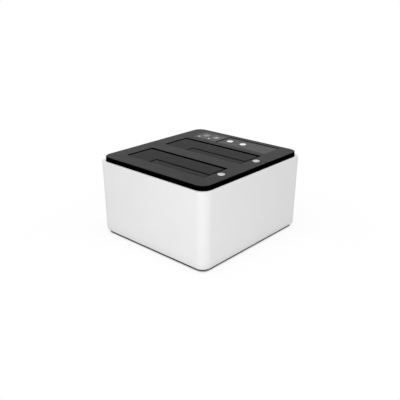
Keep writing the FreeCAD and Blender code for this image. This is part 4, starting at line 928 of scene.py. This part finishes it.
def make_marks():
    """A number and a drive outline beside each lamp."""
    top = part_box("top_cover")[1].z
    for side, text in (("left", "1"), ("right", "2")):
        lamp = middle("lamp_lens_" + side)
        x = lamp.x + NUMBER_PLACE[0]
        y = lamp.y + NUMBER_PLACE[1]
        make_number(text, (x, y), NUMBER_SIZE, top, "lamp_number_" + side)
        bm = bmesh.new()
        wide = (x - OUTLINE_HALF[0], x + OUTLINE_HALF[0])
        deep = (y - OUTLINE_HALF[1], y + OUTLINE_HALF[1])
        band(bm, wide, deep, OUTLINE_ROUND, OUTLINE_WIDTH, top - INK_FOOT, top + INK_RISE)
        add_piece("lamp_frame_" + side, bm, [MARK], "housing")


# ---- screws and feet ----

def corner_places(node, inset):
    """The four places that lie inset from the corners of a node's box, at its foot."""
    low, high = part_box(node)
    return [Vector((x, y, low.z)) for x in (low.x + inset, high.x - inset)
            for y in (low.y + inset, high.y - inset)]


def make_base_screws():
    """Four screws up through the base."""
    low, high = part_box("base_screws")
    bm = bmesh.new()
    for place in corner_places("base_screws", BASE_HEAD[0]):
        screw(bm, place, BASE_HEAD, BASE_SHANK, high.z - low.z, downward=True)
    add_fixed("base_cross_screws", bm, "steel", ["base_screws"])


def make_inner_screws():
    """Screws of the bay wells and of both boards."""
    low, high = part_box("well_screws")
    inset = SMALL_HEAD[0]
    bm = bmesh.new()
    offset = middle("bay_well_front").y - low.y - inset
    for side in SIDES:
        bay = middle("bay_well_" + side).y
        for x in (low.x + inset, high.x - inset):
            for y in (bay - offset, bay + offset):
                screw(bm, (x, y, low.z), SMALL_HEAD, SMALL_SHANK, high.z - low.z, downward=True)
    add_fixed("well_cross_screws", bm, "steel", ["well_screws"])
    for board, downward in (("control", True), ("main", False)):
        node = board + "_board_screws"
        low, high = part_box(node)
        bm = bmesh.new()
        for place in corner_places(node, inset):
            place.z = low.z if downward else high.z
            screw(bm, place, SMALL_HEAD, SMALL_SHANK, high.z - low.z, downward)
        add_fixed(board + "_board_cross_screws", bm, "steel", [node])


def make_feet():
    """Rubber feet with a rounded edge and a shallow dish inside a ring."""
    low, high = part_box("rubber_feet")
    ring_out = FOOT_RADIUS - 1.1 * MM
    floor = low.z + FOOT_DISH
    pad = low.z + FOOT_DISH * 0.6
    profile = [(0, high.z), (FOOT_RADIUS, high.z), (FOOT_RADIUS, low.z + FOOT_SOFT)]
    profile += rounding(FOOT_RADIUS - FOOT_SOFT, low.z + FOOT_SOFT, FOOT_SOFT, -FOOT_SOFT)
    profile += [(ring_out, low.z), (ring_out - FOOT_DISH, floor), (ring_out - 1.6 * MM, floor),
                (ring_out - 1.8 * MM, pad), (0, pad)]
    bm = bmesh.new()
    for place in corner_places("rubber_feet", FOOT_RADIUS):
        lathe(bm, profile, (place.x, place.y, 0), steps=48)
    add_fixed("ringed_feet", bm, "rubber", ["rubber_feet"])


# ---- inner works ----

def make_return_spring(side):
    """Round-wire spring with closed ends."""
    node = "eject_spring_" + side
    low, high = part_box(node)
    tall = high.z - low.z
    centre = middle(node)
    coil = half_width(node) - SPRING_WIRE
    bm = bmesh.new()
    start = Matrix.Translation((centre.x + coil, centre.y, low.z + SPRING_WIRE))
    verts = bmesh.ops.create_circle(bm, cap_ends=False, segments=10, radius=SPRING_WIRE,
                                    matrix=start @ Matrix.Rotation(QUARTER, 4, "X"))["verts"]
    ends = [list({edge for vert in verts for edge in vert.link_edges})]
    wound = verts + ends[0]
    closed = 2 * SPRING_WIRE
    opened = tall - 3 * closed
    for turns, rise in ((1.0, closed), (SPRING_TURNS, opened), (1.0, closed)):
        steps = round(turns * SPRING_STEPS)
        wound = bmesh.ops.spin(bm, geom=wound, cent=(centre.x, centre.y, 0), dvec=(0, 0, rise / steps),
                               axis=(0, 0, 1), angle=FULL_TURN * turns, steps=steps,
                               use_merge=False)["geom_last"]
    ends.append([item for item in wound if isinstance(item, bmesh.types.BMEdge)])
    for end in ends:
        bmesh.ops.edgeloop_fill(bm, edges=end)
    piece = add_fixed("return_spring_" + side, bm, "steel", [node], smooth_angle=50)
    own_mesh(piece)


def make_cans():
    """Three capacitors with a rolled rim, a groove near the foot and a scored vent."""
    low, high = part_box("capacitors")
    tall = high.z - low.z
    soft = 0.5 * MM
    top = tall - 0.25 * MM
    neck = CAN_RADIUS - CAN_NECK
    profile = [(0, 0), (CAN_RADIUS - soft, 0), (CAN_RADIUS, soft), (CAN_RADIUS, 1.6 * MM), (neck, 2.0 * MM),
               (neck, 2.3 * MM), (CAN_RADIUS, 2.7 * MM), (CAN_RADIUS, tall - soft),
               (CAN_RADIUS - soft * 0.6, tall), (CAN_RADIUS - soft * 1.4, tall),
               (CAN_RADIUS - soft * 1.8, top), (0, top)]
    y = middle("capacitors").y
    pitch = (high.x - low.x - 2 * CAN_RADIUS) / (CAN_COUNT - 1)
    bm = bmesh.new()
    for index in range(CAN_COUNT):
        x = low.x + CAN_RADIUS + index * pitch
        lathe(bm, profile, (x, y, low.z), steps=40)
        for size in ((CAN_VENT, 0.3 * MM, 0.1 * MM), (0.3 * MM, CAN_VENT, 0.1 * MM)):
            block(bm, (x, y, high.z - 0.24 * MM), size)
    add_fixed("sleeved_cans", bm, "can_silver", ["capacitors"])


def make_chip_legs():
    """Bent leads on the four sides of the bridge chip."""
    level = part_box("bridge_chip")[0].z
    centre = middle("bridge_chip")
    half = half_width("bridge_chip")
    foot = level + 0.1 * MM
    shoulder = level + 0.6 * MM
    bends = (  # how far out, how high, length and height of each stretch of a leg
        (0.2 * MM, shoulder, 0.5 * MM, LEG_THICK),
        (0.5 * MM, (shoulder + foot) / 2, LEG_THICK, shoulder - foot + LEG_THICK),
        (0.85 * MM, foot, 0.6 * MM, LEG_THICK))
    bm = bmesh.new()
    for quarter in range(4):
        before = set(bm.verts)
        for index in range(LEG_COUNT):
            y = (index - (LEG_COUNT - 1) / 2) * LEG_PITCH
            for out, height, length, tall in bends:
                block(bm, (half + out, y, height), (length, LEG_WIDTH, tall))
        turn = Matrix.Translation((centre.x, centre.y, 0)) @ Matrix.Rotation(QUARTER * quarter, 4, "Z")
        bmesh.ops.transform(bm, matrix=turn, verts=added(bm.verts, before))
    add_fixed("chip_legs", bm, "steel", smooth_angle=30)


# ---- rear ports ----

def upright(bm, place):
    """Turn what was made flat to face the rear, and set it at a place."""
    turn = Matrix.Rotation(-QUARTER, 4, "X")
    bmesh.ops.transform(bm, matrix=Matrix.Translation(place) @ turn, verts=bm.verts)


def make_rocker_marks():
    """Bar and ring on the two halves of the rocker's face."""
    pivot = next(Vector(joint["pos_m"]) for joint in frame["joints"] if joint["child"] == "power_rocker")
    tipped = Matrix.Translation(pivot) @ Matrix.Rotation(ROCKER_TILT, 4, "Z")
    slope = math.atan2(ROCKER_CREST - ROCKER_VALLEY, ROCKER_HALF)
    level = (ROCKER_CREST + ROCKER_VALLEY) / 2
    proud = 0.04 * MM
    bm = bmesh.new()
    for side in (-1, 1):
        before = set(bm.verts)
        if side > 0:
            block(bm, (0, 0, 0), (ROCKER_LINE, ROCKER_MARK, proud * 2))
        else:
            rings = [circle(bm, (0, 0), radius, height, steps=32) for height in (-proud, proud)
                     for radius in (ROCKER_MARK / 2, ROCKER_MARK / 2 - ROCKER_LINE)]
            fill(bm, rings[:2])
            fill(bm, rings[2:])
            bridge(bm, rings[0], rings[2])
            bridge(bm, rings[1], rings[3])
        lie = Matrix.Translation((side * ROCKER_HALF / 2, level, 0)) @ Matrix.Rotation(side * slope, 4, "Z")
        bmesh.ops.transform(bm, matrix=tipped @ lie @ Matrix.Rotation(-QUARTER, 4, "X"),
                            verts=added(bm.verts, before))
    add_piece("rocker_marks", bm, [MARK], "power_rocker")


def make_switch_trim():
    """Rounded frame round the rocker, standing on the plate."""
    low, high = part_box("power_switch_body")
    wide = (high.x - low.x) / 2 + TRIM_LAP
    tall = (high.z - low.z) / 2 + TRIM_LAP
    outside = ((-wide, wide), (-tall, tall))
    inside = [grown(span, -TRIM_WALL) for span in outside]
    bm = bmesh.new()
    outer_side, outer_flat = rounded_edge(bm, *outside, TRIM_ROUND, TRIM_THICK, 0.4 * MM, True, 4)
    outer_foot = ring(bm, *outside, TRIM_ROUND, 0)
    inner = [ring(bm, *inside, 0.5 * MM, level) for level in (0, TRIM_THICK)]
    bridge(bm, outer_foot, outer_side)
    fill(bm, [outer_flat, inner[1]])
    bridge(bm, *inner)
    fill(bm, [outer_foot, inner[0]])
    centre = middle("power_switch_body")
    upright(bm, (centre.x, high.y, centre.z))
    add_fixed("switch_frame", bm, "connector_black")


def make_jack_trim():
    """Raised collar round the power jack's bore, and the spring leaf in it."""
    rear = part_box("power_jack")[1].y
    centre = middle("power_jack")
    outer = JACK_BORE + 1.25 * MM
    profile = [(JACK_BORE, 0), (JACK_BORE, 0.35 * MM), (JACK_BORE + 0.25 * MM, 0.6 * MM),
               (outer - 0.25 * MM, 0.6 * MM), (outer, 0.35 * MM), (outer, 0), (JACK_BORE, 0)]
    bm = bmesh.new()
    lathe(bm, profile, (0, 0, 0), steps=48)
    upright(bm, (centre.x, rear, centre.z))
    add_fixed("jack_collar", bm, "connector_black")
    bm = bmesh.new()
    block(bm, (centre.x, rear - 4.6 * MM, centre.z + JACK_BORE - 0.2 * MM), (1.4 * MM, 6.5 * MM, 0.25 * MM),
          0.08 * MM)
    add_fixed("jack_leaf", bm, "can_silver", smooth_angle=30)


def make_usb_contacts():
    """Two gilt strips above the socket's tongue and two below."""
    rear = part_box("usb_tongue")[1].y
    centre = middle("usb_tongue")
    width, length = USB_STRIP
    bm = bmesh.new()
    for x in (-1.25 * MM, 1.25 * MM):
        for side in (-1, 1):
            height = side * (USB_TONGUE / 2 + CONTACT_PLATE)
            block(bm, (centre.x + x, rear - 0.6 * MM - length / 2, centre.z + height),
                  (width, length, CONTACT_PLATE * 2), 0.02 * MM)
    add_piece("usb_contacts", bm, [GOLD], "housing")


def make_socket_contacts(side):
    """Rows of gilt contacts on both tongues of a drive socket."""
    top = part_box("sata_socket_" + side)[1].z
    centre = middle("sata_socket_" + side)
    span = DATA_TONGUE + TONGUE_SPLIT + POWER_TONGUE
    rows = ((centre.x - span / 2, DATA_TONGUE, 7), (centre.x + span / 2 - POWER_TONGUE, POWER_TONGUE, 15))
    face = centre.y - TONGUE_THICK / 2 - CONTACT_PLATE / 2
    tall = 3.9 * MM
    bm = bmesh.new()
    for start, length, count in rows:
        first = start + (length - (count - 1) * CONTACT_PITCH) / 2
        for index in range(count):
            block(bm, (first + index * CONTACT_PITCH, face, top - SOCKET_DROP - 0.2 * MM - tall / 2),
                  (CONTACT_WIDTH, CONTACT_PLATE, tall))
    add_piece("socket_contacts_" + side, bm, [GOLD], "housing")


# ---- stage, lamps and camera ----

def seen_directly(tree):
    """1 for rays from the camera, a reflection or clear material, else 0."""
    path = tree.nodes.new("ShaderNodeLightPath")
    mirrored = math_node(tree, "MAXIMUM", path.outputs["Is Glossy Ray"], path.outputs["Is Transmission Ray"])
    return math_node(tree, "MAXIMUM", path.outputs["Is Camera Ray"], mirrored)


def floor_whiteness(tree):
    """0 on the floor below the housing, where its shadow is full, more beside it, and 1 far from it."""
    place = tree.nodes.new("ShaderNodeTexCoord").outputs["Object"]
    half = (cad_high - cad_low) / 2
    corner = (half.x - SHELL_CORNER, half.y - SHELL_CORNER, 0)
    for operation, value in (("ABSOLUTE", None), ("SUBTRACT", corner), ("MAXIMUM", (0, 0, 0))):
        step = tree.nodes.new("ShaderNodeVectorMath")
        step.operation = operation
        tree.links.new(place, step.inputs[0])
        if value:
            step.inputs[1].default_value = value
        place = step.outputs["Vector"]
    reach = tree.nodes.new("ShaderNodeVectorMath")
    reach.operation = "LENGTH"
    tree.links.new(place, reach.inputs[0])
    edge = SHELL_CORNER - SHADOW_INSET
    beside = ramp(tree, reach.outputs["Value"], edge - SHADOW_BLEND, edge)
    share = ramp(tree, reach.outputs["Value"], edge, SHADOW_END, FLOOR_WHITE, 1.0)
    return times(tree, beside, share)


def make_stage():
    """Plain pale floor that stays white to the camera and keeps a soft shadow."""
    bm = bmesh.new()
    bmesh.ops.create_grid(bm, x_segments=1, y_segments=1, size=3.0)
    mesh = bpy.data.meshes.new("floor")
    bm.to_mesh(mesh)
    bm.free()
    floor = bpy.data.objects.new("floor", mesh)
    bpy.context.scene.collection.objects.link(floor)
    material = bpy.data.materials.new("floor paper")
    material.use_nodes = True
    tree = material.node_tree
    shader = tree.nodes["Principled BSDF"]
    shader.inputs["Base Color"].default_value = (0.93, 0.93, 0.93, 1)
    shader.inputs["Roughness"].default_value = 0.9
    shader.inputs["Specular IOR Level"].default_value = 0.0
    white = tree.nodes.new("ShaderNodeEmission")
    mix = tree.nodes.new("ShaderNodeMixShader")
    tree.links.new(times(tree, seen_directly(tree), floor_whiteness(tree)), mix.inputs[0])
    tree.links.new(shader.outputs["BSDF"], mix.inputs[1])
    tree.links.new(white.outputs["Emission"], mix.inputs[2])
    tree.links.new(mix.outputs["Shader"], tree.nodes["Material Output"].inputs["Surface"])
    mesh.materials.append(material)


def make_light():
    """Dim even surround, a broad soft lamp in front and one above."""
    world = bpy.data.worlds.new("surround")
    bpy.context.scene.world = world
    world.use_nodes = True
    tree = world.node_tree
    background = tree.nodes["Background"]
    background.inputs["Color"].default_value = (1, 1, 1, 1)
    background.inputs["Strength"].default_value = SURROUND
    white = tree.nodes.new("ShaderNodeBackground")
    white.inputs["Color"].default_value = (1, 1, 1, 1)
    white.inputs["Strength"].default_value = 1.0
    mix = tree.nodes.new("ShaderNodeMixShader")
    tree.links.new(seen_directly(tree), mix.inputs[0])
    tree.links.new(background.outputs["Background"], mix.inputs[1])
    tree.links.new(white.outputs["Background"], mix.inputs[2])
    tree.links.new(mix.outputs["Shader"], tree.nodes["World Output"].inputs["Surface"])
    for name, place, size, power in LAMPS:
        lamp = bpy.data.lights.new(name, "AREA")
        lamp.size = size
        lamp.energy = power
        piece = bpy.data.objects.new(name, lamp)
        piece.location = place
        aim = LAMP_AIM - Vector(place)
        piece.rotation_euler = aim.to_track_quat("-Z", "Y").to_euler()
        bpy.context.scene.collection.objects.link(piece)


def make_camera():
    """Camera at the view's height and angle, from the front right corner."""
    camera = bpy.data.cameras.new("camera")
    camera.sensor_width = 36
    camera.lens = CAMERA_LENS
    camera.shift_x, camera.shift_y = CAMERA_SHIFT
    camera.clip_start = 0.01
    piece = bpy.data.objects.new("camera", camera)
    piece.location = CAMERA_PLACE
    roll = Matrix.Rotation(CAMERA_ROLL, 3, CAMERA_FORWARD)
    turned = CAMERA_FORWARD.to_track_quat("-Z", "Y").to_matrix()
    piece.rotation_euler = (roll @ turned).to_euler()
    bpy.context.scene.collection.objects.link(piece)
    bpy.context.scene.camera = piece


def make_everything():
    """Build the whole visual model."""
    dress_frame_nodes()
    make_shell()
    make_cover()
    for side in SIDES:
        make_eject_button(side)
    for label in ("mode_button", "start_button"):
        make_control_button(label)
    for side in ("left", "right"):
        make_lamp(side)
    make_marks()
    make_base_screws()
    make_inner_screws()
    make_feet()
    for side in SIDES:
        make_return_spring(side)
    make_cans()
    make_chip_legs()
    make_rocker_marks()
    make_switch_trim()
    make_jack_trim()
    make_usb_contacts()
    for side in SIDES:
        make_socket_contacts(side)
    make_stage()
    make_light()
    make_camera()


make_everything()
bpy.context.scene.view_settings.view_transform = "Standard"
